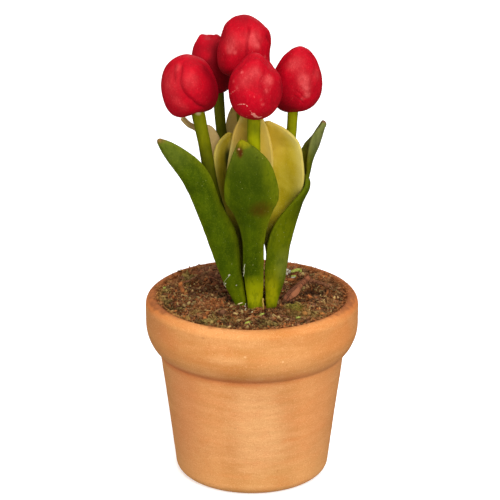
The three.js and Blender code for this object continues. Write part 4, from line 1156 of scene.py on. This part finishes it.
# spine: half way between the margins, from the root to the tip. width: margin to margin.
# turn: heading of the blade's left-to-right direction, degrees from +X. cup: how far the midrib
# lies behind the margins, as a share of half the width. dull: how greyish a pale leaf is, 0 to 1.
leaves = {
    "thickness": 0.62, "edgeThinning": 0.35, "cupCentre": 0.6,
    "rows": 170, "tipRows": 10, "faceColumns": 28, "edgeColumns": 9,
    "wave": 0.10, "waveSizes": (3.2, 1.3), "roughness": 0.03, "roughSizes": (0.9, 0.35),
    "tipRounding": 0.5, "usualLength": 26,  # the tip is rounded over their share of each blade
    # bruises, flecks, tips and painted highlights: centre, radius, squash, strength, colour
    "greenMarks": [
        ((-0.3, -6, 37.6), 2.6, (1.1, 0.5, 0.6), 0.5, (44, 58, 0)),
        ((-1.38, -6.3, 41.65), 0.42, (1.2, 1, 0.6), 0.95, (82, 40, 8)),
        ((-1.28, -6.3, 41.3), 0.26, (1, 1, 0.8), 0.8, (70, 32, 6)),
        ((-1.47, -6.3, 41.85), 0.1, (1, 1, 1), 0.85, (206, 150, 116)),
        ((-0.95, -6.2, 42.6), 0.6, (0.8, 1, 1), 0.7, (146, 136, 8)),
        ((0.95, -5.7, 34.7), 1.0, (0.8, 1, 1), 0.95, (66, 42, 4)),
        ((0.3, -5.6, 35.1), 0.5, (0.8, 1, 1.2), 0.4, (60, 52, 0)),
        # bright feet of the front and right leaves, and paler clay up the right one
        ((0.25, -4.3, 23.7), 1.35, (1.1, 0.7, 0.75), 0.8, (138, 142, 2)),
        ((0.5, -4.3, 22.9), 0.9, (1.1, 0.7, 0.75), 0.5, (150, 152, 10)),
        ((1.95, -3.6, 23.5), 1.25, (1.2, 0.7, 0.7), 0.8, (146, 142, 4)),
        ((2.5, -3.7, 25.5), 1.0, (1.2, 0.7, 0.7), 0.4, (130, 128, 8)),
        ((3.6, -3.6, 23.6), 0.7, (1.4, 0.7, 0.5), 0.5, (50, 60, 0)),
        ((3.9, -3.6, 26.9), 1.2, (1.2, 0.7, 0.6), 0.28, (136, 138, 60)),
        ((3.6, -3.4, 33.1), 2.6, (1.0, 0.5, 0.6), 0.32, (112, 116, 0)),
        ((3.6, -3.4, 30.2), 1.8, (1.0, 0.5, 0.7), 0.3, (102, 106, 0)),
        ((-8.8, -5.1, 41.5), 1.6, (0.8, 0.5, 0.8), 0.2, (112, 122, 44)),
        ((5.8, -1.4, 39.2), 1.3, (1.4, 0.6, 0.5), 0.6, (104, 92, 10)),
        ((0.54, -6.2, 40.8), 0.16, (1, 1, 1), 0.5, (40, 44, 0)),
        ((-0.68, -6.1, 36.5), 0.25, (1, 1, 1), 0.4, (46, 46, 0)),
        # painted highlights on the front leaf: at its upper right and along its left margin
        ((1.9, -5.8, 39.0), 0.9, (1, 1, 0.6), 0.4, (104, 112, 4)),
        ((-2.95, -5.7, 36.6), 0.7, (1.6, 1, 0.5), 0.4, (98, 108, 4)),
        ((-1.13, -6.1, 37.34), 0.1, (1, 1, 0.7), 0.9, (196, 180, 70)),
        ((0.02, -5.3, 31.14), 0.1, (1, 1, 0.8), 0.8, (190, 182, 60)),
        ((-1.39, -5.9, 34.9), 0.08, (1, 1, 1), 0.6, (150, 140, 40)),
        ((1.61, -3.6, 31.46), 0.12, (1, 1, 0.8), 0.7, (200, 140, 110)),
        ((-2.01, -4.3, 31.7), 0.09, (1, 1, 1), 0.7, (180, 180, 90)),
        ((-10.6, -5.3, 42.75), 0.55, (0.7, 1, 1.2), 0.85, (128, 92, 50)),
        ((7.7, -1.2, 42.3), 2.0, (0.8, 0.6, 0.8), 0.35, (132, 126, 88)),
        ((8.25, -1.2, 43.75), 0.4, (1, 1, 1), 0.8, (128, 70, 58)),
        ((6.4, -2.5, 36.3), 0.35, (1, 1, 0.6), 0.5, (130, 84, 34))],
    # painted shade in the fold of the left leaf and on the right leaf beside the green one, and golden and
    # darker olive patches: centre, radius, squash, strength, colour
    "paleMarks": [
        # painted shade in the fold of the left leaf
        ((-3.05, -1.0, 38.2), 1.2, (1.7, 0.8, 0.45), 0.55, (96, 86, 0)),
        ((-2.75, -1.0, 39.0), 0.64, (1.6, 0.6, 0.5), 0.95, (34, 44, 4)),
        ((1.9, -1.9, 41.6), 1.8, (0.9, 0.5, 0.6), 0.5, (196, 156, 52)),
        ((-3.2, -1.1, 36.0), 1.5, (1.2, 0.5, 0.6), 0.5, (84, 80, 0)),
        # painted shade cast by the green leaf onto the right pale leaf
        ((5.3, -2.6, 34.2), 1.3, (1, 1, 0.9), 0.7, (92, 92, 0)),
        ((-1.6, -2.8, 42.5), 1.0, (1.2, 0.8, 0.6), 0.5, (182, 132, 40))],
    "green": {
        "left": {"spine": [[-1.4, -3.2, 17.5], [-1.21, -3.2, 21.5], [-2.38, -3.5, 25.71], [-3.3, -3.9, 30.07],
                           [-4.77, -4.4, 33.88], [-6.51, -4.8, 38.17], [-9.16, -5.1, 41.24],
                           [-10.63, -5.3, 42.71]],
                 "width": [1.5, 1.33, 2.45, 3.47, 3.02, 3.1, 2.04, 0.5],
                 "turn": [10, 10, 15, 15, 15, 10, 5, 0],
                 "cup": [-0.1, -0.2, -0.35, -0.35, -0.35, -0.35, -0.3, 0]},
        "front": {"spine": [[0.35, -3.8, 17.5], [0.36, -3.8, 21.97], [0.27, -4.05, 24.4], [0.16, -4.4, 27.1],
                            [0.17, -4.95, 30.51], [0.12, -5.4, 33.48], [-0.02, -5.7, 35.75],
                            [-0.3, -5.85, 38.92], [-0.73, -5.95, 40.98], [-1.29, -6, 42.86]],
                  "width": [1.4, 1.72, 2.06, 2.42, 2.56, 4.1, 6.2, 5.41, 3.45, 0.5], "turn": [0] * 10,
                  "cup": [-0.1, -0.15, -0.2, -0.3, -0.4, -0.3, -0.25, -0.25, -0.2, -0.1]},
        "right": {"spine": [[2.2, -3.25, 17.5], [2.26, -3.25, 21.99], [2.79, -3.15, 25.94], [3.25, -3, 29.78],
                            [4.9, -2.5, 33.5], [6.11, -2.1, 35.91], [6.06, -1.15, 36.94], [6.35, -1.1, 39.7],
                            [7.27, -1.2, 41.93], [8.24, -1.2, 43.65]],
                  "width": [0.9, 1.3, 2.8, 3.01, 3.37, 2.88, 2.18, 2.68, 2.13, 1],
                  "turn": [10, -2, 27, 27, 58, 89, 111, 107, 80, 91],
                  "cup": [-0.1, -0.05, -0.47, -0.23, -0.25, -0.33, -0.28, -0.8, -0.9, -0.4]},
    },
    "pale": {
        "right": {"spine": [[2.35, -1.98, 17.5], [2.35, -1.98, 22], [2.3, -1.85, 27.82], [2.05, -1.85, 31.13],
                            [3.38, -1.92, 34.83], [3.64, -1.95, 37.03], [3.63, -1.9, 40.32],
                            [2.6, -1.8, 41.75], [1.2, -1.5, 43.5]],
                  "width": [1.2, 1.3, 1.45, 2.2, 3.92, 5.06, 4.38, 3.95, 1.3],
                  "turn": [0, 0, -10, -15, -20, -20, -20, -20, -20],
                  "cup": [0.1, 0.1, 0.1, 0.1, 0.12, 0.15, 0.15, 0.15, 0.1]},
        "middle": {"spine": [[0.45, -1.25, 17.5], [0.45, -1.25, 22], [0.2, -1.55, 27], [0.04, -2.05, 32],
                             [-0.4, -2.5, 36.06], [-0.14, -2.6, 39.48], [-0.1, -2.6, 42.75],
                             [-0.14, -2.5, 44.94]],
                   "width": [1.3, 1.4, 1.8, 2.97, 4.9, 5.17, 4.03, 2.1], "turn": [0] * 8, "dull": 0.15,
                   "cup": [0.1, 0.1, 0.2, 0.3, 0.35, 0.35, 0.35, 0.3]},
        "left": {"spine": [[-0.95, -0.5, 17.5], [-0.95, -0.5, 22], [-1.5, -0.55, 28], [-2.57, -0.85, 33.01],
                           [-3.25, -1.05, 36.36], [-3.42, -1.05, 38.97], [-3.13, -0.95, 40.64],
                           [-2.35, -0.75, 42.02]],
                 "width": [0.9, 1, 1.3, 1.87, 1.9, 2.05, 1.75, 0.7], "turn": [0] * 8,
                 "cup": [0.1, 0.1, 0.2, 0.5, 0.8, 0.9, 0.8, 0.4]},
        "tip": {"spine": [[-2.05, -0.4, 17.5], [-2.05, -0.4, 22], [-2.7, -0.25, 28], [-3.6, 0.1, 33],
                          [-4.4, 0.35, 37], [-4.75, 0.4, 39.8], [-5.3, 0.35, 41.6], [-6.4, 0.2, 42.4],
                          [-7.3, 0.1, 42.9], [-8, 0, 43.7]],
                "width": [1, 1, 1.1, 1.4, 2, 2.6, 2.2, 0.9, 0.8, 0.6],
                "turn": [80, 80, 50, 20, 0, 0, 15, 60, 80, 80], "dull": 1.0,
                "cup": [0.1, 0.1, 0.2, 0.2, 0.2, 0.2, 0.2, 0.1, 0, 0]},
        "back": {"spine": [[0.6, 1.25, 17.5], [0.6, 1.25, 22], [0.4, 1.9, 28], [-0.6, 3.4, 33.6],
                           [-1.7, 4.7, 37.5], [-2, 5.3, 40.4], [-2, 5.5, 42.1], [-2, 5.6, 43.3]],
                 "width": [1.3, 1.4, 1.5, 1.8, 2.2, 2.2, 1.7, 0.8], "turn": [0] * 8, "dull": 0.7,
                 "cup": [0.1, 0.1, 0.1, 0.2, 0.2, 0.2, 0.2, 0.1]},
    },
}


# Places round a blade's section: reach runs -1 to 1 on the line between the margins, and the angle
# turns from the front face (0) round the right margin to the back (180) and round the left one
def sectionPlaces():
    face = np.linspace(-1, 1, leaves["faceColumns"])
    edge = np.linspace(0, np.pi, leaves["edgeColumns"] + 2)[1:-1]
    reach = np.concatenate([face, np.ones_like(edge), face[::-1], -np.ones_like(edge)])
    angle = np.concatenate([0 * face, edge, np.pi + 0 * face, np.pi + edge])
    return reach, angle


# Section at each place of the spine: centre + side * u + behind * sag (cupCentre - u^2), and round it
# half the thickness towards the front, the margin or the back, closed by a quarter round at the tip
def makeBlade(leaf, seed):
    rounding = leaves["tipRounding"] / leaves["usualLength"]
    body = np.linspace(0, 1 - rounding, leaves["rows"])
    cap = 1 - rounding + rounding * np.sin(np.linspace(0, np.pi / 2, leaves["tipRows"]))[1:-1]
    share = np.concatenate([body, cap])
    close = np.sqrt(1 - np.clip((share - 1 + rounding) / rounding, 0, 1) ** 2)[:, None]
    centre = throughPoints(leaf["spine"], share)[:, None, :]
    up = headingAlong(leaf["spine"], share)[:, None, :]
    heading = np.radians(throughPoints(leaf["turn"], share))[:, None]
    side = np.stack([np.cos(heading), np.sin(heading), 0 * heading], -1)
    side = unit(side - up * np.sum(side * up, -1, keepdims=True))
    behind = np.cross(up, side)
    reach, angle = sectionPlaces()
    half = throughPoints(leaf["width"], share)[:, None] / 2 * close
    thick = leaves["thickness"] / 2 * close * (1 - leaves["edgeThinning"] * reach ** 4)
    sag = half * throughPoints(leaf["cup"], share)[:, None]
    narrowest = 0.02  # keeps the section's margins apart at the tip
    u = reach * np.maximum(half - thick[:, -1:], narrowest) / np.maximum(half, narrowest)
    sagged = sag * (leaves["cupCentre"] - u ** 2)
    middle = centre + side * (u * half)[..., None] + behind * sagged[..., None]
    slope = 2 * sag * u
    out = unit(behind * half[..., None] + side * slope[..., None])
    edgeward = unit(side * half[..., None] - behind * slope[..., None])
    outward = -out * np.cos(angle)[:, None] + edgeward * np.sin(angle)[:, None]
    skin = middle + outward * thick[..., None]
    sway = leaves["wave"] * twoLumps(middle, leaves["waveSizes"], seed)
    stray = leaves["roughness"] * twoLumps(skin, leaves["roughSizes"], seed + 2)
    rings = skin + (behind * sway[..., None] + outward * stray[..., None]) * close[..., None]
    values = {"across": u, "along": share[:, None] + 0 * u, "dull": leaf.get("dull", 0) + 0 * u}
    return sleeve(rings, rings[0].mean(0), throughPoints(leaf["spine"], 1.0), values)


# Green clay: darker in the middle, with painted highlights along the margins and on the right, paler near the
# root, paler towards the tips partly as painted sheen, and a few marks
def greenLeafFinish():
    material, place = newFinish("greenLeafClay")
    along, across = carried(place, "along"), carried(place, "across")
    blotch = ease(cloud(place, 2.0, 3.0), 0.36, 0.66)
    mottle = cloud(place, 0.5, 4.0, 0.65, (1.0, 1.0, 0.5))
    grain = cloud(place, 0.18, 4.0, 0.8)
    specks = ease(cloud(place, 0.2, 2.0), 0.7, 0.78)
    colour = layColours(twoTone(blotch, (52, 68, 0), (66, 82, 0)), [
        (ease(mottle, 0.48, 0.7) * 0.3, (84, 96, 2)),
        # painted highlights along both margins, and more along the right one
        (ease(across * across, 0.45, 0.95) * 0.4, (100, 108, 14)),
        (ease(across, 0.25, 0.95) * 0.38, (118, 124, 12)),
        (ease(along, 0.33, 0.2) * 0.3, (112, 122, 0)),
        (ease(grain, 0.52, 0.66) * 0.45, (40, 54, 0)),
        (ease(grain, 0.47, 0.33) * 0.4, (112, 122, 24)),
        # paler and more olive towards the tip: partly the clay's colour, partly painted sheen
        (ease(along, 0.7, 1.0) * 0.5, (104, 112, 30))])
    colour = layMarks(strayed(place, 0.4, 0.16), colour, leaves["greenMarks"])
    colour = layColours(colour, [
        (ease(mottle, 0.5, 0.36) * 0.35, (50, 66, 0)),
        (specks * 0.5, (170, 174, 104))])
    relief = grain * 0.014 + mottle * 0.03
    closeFinish(place, colour, 0.62 + grain * 0.16, relief, 0.035)
    return material


# Pale clay: painted shade low down, where the leaves stand behind the green ones, golden above, creamy along
# the margins, duller in the leaves at the back
def paleLeafFinish():
    material, place = newFinish("paleLeafClay")
    along, across = carried(place, "along"), carried(place, "across")
    blotch = ease(cloud(place, 2.2, 3.0), 0.36, 0.66)
    mottle = cloud(place, 0.6, 4.0, 0.65, (1.0, 1.0, 0.4))
    grain = cloud(place, 0.1, 4.0, 0.75)
    colour = layColours(twoTone(blotch, (176, 150, 18), (192, 168, 48)), [
        (ease(mottle, 0.48, 0.7) * 0.15, (204, 184, 84)),
        (ease(across * across, 0.12, 0.95) * 0.6, (200, 186, 110)),
        (ease(along, 0.8, 0.45) * 0.45, (130, 122, 2)),
        (carried(place, "dull") * 0.75, (176, 147, 106)),
        # painted shade low down, behind the green leaves
        (ease(along, 0.46, 0.33) * 0.85, (34, 44, 0)),
        (ease(grain, 0.53, 0.7) * 0.2, (140, 120, 10)),
        (ease(grain, 0.46, 0.3) * 0.25, (222, 208, 140))])
    colour = layMarks(strayed(place, 0.6, 0.1), colour, leaves["paleMarks"])
    relief = grain * 0.012 + mottle * 0.02
    closeFinish(place, colour, 0.62 + grain * 0.16, relief, 0.08)
    return material


for kind, leafClay in (("green", greenLeafFinish()), ("pale", paleLeafFinish())):
    for number, (name, leaf) in enumerate(leaves[kind].items()):
        skin = makeBlade(leaf, 200 + 10 * number + len(kind) * 100)
        putPiece(f"{kind}Leaf{name.capitalize()}", skin, leafClay, "leaf_" + kind, [f"leaf_{kind}_{name}"])
print("leaves cut and bent")


# ---- sliver of bark ----

bark = {
    "spine": [[3.8, -2.2, 21.75], [4.7, -0.4, 22.15], [5.65, 1.5, 22.55], [6.75, 3.5, 22.9]],
    "width": [0.7, 0.95, 0.75, 0.3], "turn": [-29] * 4, "cup": [0.1, 0.3, 0.3, 0],
    "splinters": 0.28, "splinterWidth": 0.3, "splinterStretch": 0.85, "splinterLean": (-0.5, 0.2, 0.8),
}


# A blade whose skin is torn by splinters: points + depth * lumps * lean, lumps stretched along it
def makeBark():
    skin = makeBlade(bark, 900)
    along = unit(np.array(bark["spine"][-1]) - np.array(bark["spine"][0]))
    points = skin["points"]
    flattened = points - bark["splinterStretch"] * (points @ along)[:, None] * along
    torn = lumps(flattened, bark["splinterWidth"], 901)[:, None]
    skin["points"] = points + bark["splinters"] * (torn * bark["splinterLean"])
    return skin


# Reddish brown wood with pale and dark strands, darker towards its left margin, and a painted highlight in
# the strands along its torn right margin
def barkFinish():
    material, place = newFinish("barkSliver")
    grain = cloud(place, 0.16, 4.0, 0.7)
    across = carried(place, "across")
    strands = cloud(carried(place, "along") * 3.0 + across * 40.0 + grain * 4.0, 4.0, 3.0, 0.6)
    colour = layColours(twoTone(ease(strands, 0.4, 0.6), (66, 34, 20), (152, 92, 60)), [
        (ease(across, 0.2, -0.9) * 0.5, (84, 48, 32)),
        # painted highlight along the right margin
        (ease(across, 0.4, 0.9) * ease(strands, 0.36, 0.56) * 0.6, (180, 120, 84))])
    closeFinish(place, colour, 0.85, strands * 0.12, 0.12)
    return material


putPiece("barkSliver", makeBark(), barkFinish(), "bark", ["bark_chip"])
print("bark laid on the soil")


# ---- litter: moss, straw, lint, twigs, hairs and a husk that lie on the soil ----

# colours: dark and pale. flecks: x, y, height above the soil, length, width, thickness, and heading
# in degrees from +X. threads: points of the path and radius.
litter = {
    "colours": {
        "moss": ((116, 122, 42), (170, 176, 84)), "straw": ((150, 124, 76), (206, 190, 146)),
        "lint": ((144, 138, 116), (196, 190, 172)), "twig": ((84, 48, 30), (140, 92, 62)),
        "hair": ((140, 142, 100), (190, 190, 160)), "husk": ((128, 96, 34), (176, 150, 70))},
    "rows": 7, "around": 12, "lumpiness": 0.35, "lumpSize": 0.7, "lean": 0.2,
    "flecks": {
        "moss": [
            (5.3, 6.5, 0.5, 1.25, 0.75, 0.3, 12), (5.8, 6.7, 0.5, 0.5, 0.36, 0.3, 60),
            (5.0, 5.6, 0.3, 0.7, 0.4, 0.3, -20), (0.96, -6.6, 0.2, 0.9, 0.36, 0.24, 14),
            (-0.43, -9.2, 0.2, 0.75, 0.4, 0.26, 24), (5.3, -6.7, 0.2, 0.64, 0.42, 0.26, -8),
            (-10.3, 2.3, 0.16, 0.5, 0.26, 0.2, 40), (-8.4, 2.0, 0.16, 0.4, 0.24, 0.2, -30),
            (8.6, -5.1, 0.12, 0.4, 0.2, 0.16, 15)],
        "straw": [
            (-1.35, -4.75, 0.95, 0.66, 0.2, 0.14, 22), (0.0, -5.0, 0.2, 0.34, 0.22, 0.18, 20),
            (-0.8, -4.9, 0.3, 0.22, 0.2, 0.2, 60), (-3.4, -7.8, 0.14, 0.5, 0.16, 0.14, 30),
            (-6.9, -3.3, 0.14, 0.5, 0.16, 0.14, -50), (7.9, 4.4, 0.16, 0.4, 0.18, 0.14, 20),
            (-2.3, -8.6, 0.14, 0.4, 0.14, 0.12, -20), (4.1, -8.1, 0.14, 0.46, 0.14, 0.12, 10)],
        "lint": [
            (4.2, 6.9, 0.8, 0.56, 0.36, 0.34, 50), (4.5, 7.0, 0.6, 0.4, 0.3, 0.4, 0),
            (4.2, 6.4, 0.5, 0.36, 0.24, 0.4, 120), (4.9, 5.3, 0.3, 0.5, 0.24, 0.2, 0),
            (-2.62, -4.4, 4.2, 0.3, 0.14, 0.12, 30), (-3.05, -4.4, 3.15, 0.12, 0.1, 0.2, 0),
            (-0.85, -5.0, 5.6, 0.09, 0.08, 0.26, 0), (-0.93, -5.0, 5.25, 0.08, 0.08, 0.16, 0),
            (-1.0, -5.0, 4.85, 0.08, 0.08, 0.2, 0), (-0.75, -4.8, 1.1, 0.1, 0.1, 0.16, 0),
            (-0.8, -4.85, 0.8, 0.12, 0.1, 0.12, 0), (-0.72, -4.9, 0.55, 0.1, 0.1, 0.14, 0),
            (-1.8, -4.35, 2.7, 0.15, 0.1, 0.14, 0)]},
    "threads": {
        "twig": [
            ([(6.5, 3.6, 22.3), (7.4, 3.0, 22.4), (8.3, 2.4, 22.35), (9.1, 1.8, 22.2)], 0.2),
            ([(-8.1, 3.4, 22.1), (-7.2, 4.2, 22.2), (-6.6, 5.2, 22.2)], 0.08),
            ([(2.5, -7.5, 22.0), (3.3, -7.2, 22.05), (4.2, -7.3, 22.0)], 0.07)],
        "hair": [
            ([(-2.6, -4.4, 25.95), (-2.9, -4.45, 25.6), (-3.2, -4.45, 25.2), (-3.2, -4.45, 24.85),
              (-3.0, -4.4, 24.5)], 0.035),
            ([(-0.8, -5.0, 27.6), (-0.92, -5.05, 27.1), (-0.88, -5.05, 26.6), (-1.0, -5.0, 26.1)], 0.025)],
        "husk": [
            ([(1.28, -4.5, 23.2), (1.26, -4.6, 22.8), (1.3, -4.7, 22.4), (1.32, -4.8, 22.0)], 0.09)]},
}


# A flattened ball, (length cos, width sin, thickness) of its two angles over 2, strayed by lumps
def makeFleck(fleck, seed):
    x, y, above, length, width, thickness, heading = fleck
    polar = np.linspace(0, np.pi, litter["rows"] + 2)[1:-1, None]
    around = np.linspace(0, 2 * np.pi, litter["around"], endpoint=False)
    ball = np.stack([np.sin(polar) * np.cos(around), np.sin(polar) * np.sin(around),
                     np.cos(polar) + 0 * around], -1)
    poles = np.array([(0, 0, 1.0), (0, 0, -1.0)])
    size = np.array([length, width, thickness]) / 2
    c, s = np.cos(np.radians(heading)), np.sin(np.radians(heading))
    turn = np.array([[c, s, litter["lean"]], [-s, c, 0], [0, 0, 1]])
    centre = np.array([x, y, float(soilHeight(np.array(x), np.array(y))) + above])
    shaped = []
    for points in (ball, poles):
        swell = 1 + litter["lumpiness"] * lumps(points, litter["lumpSize"], seed)
        shaped.append((points * swell[..., None] * size) @ turn + centre)
    return sleeve(shaped[0], *shaped[1])


# Several skins as one, each one's faces counted on from the points of those before it
def joined(skins):
    counts = np.cumsum([0] + [len(skin["points"]) for skin in skins])
    whole = {"points": np.concatenate([skin["points"] for skin in skins]), "values": {}}
    for kind in ("quads", "triangles"):
        whole[kind] = np.concatenate([skin[kind] + start for skin, start in zip(skins, counts)])
    return whole


# Plain matt stuff, with soft and fine blotches from its dark colour to its pale one
def litterFinish(name):
    material, place = newFinish(name)
    blotch = cloud(place, 0.25, 4.0, 0.7)
    colour = twoTone(ease(blotch, 0.35, 0.65), *litter["colours"][name])
    closeFinish(place, colour, 0.85, blotch * 0.05, 0.1)
    return material


for name, flecks in litter["flecks"].items():
    skins = [makeFleck(fleck, 400 + number) for number, fleck in enumerate(flecks)]
    putPiece(name + "Flecks", joined(skins), litterFinish(name))
for name, threads in litter["threads"].items():
    skins = [makeStem(radius, path, 450 + number) for number, (path, radius) in enumerate(threads)]
    putPiece(name + "Threads", joined(skins), litterFinish(name))
print("litter scattered")
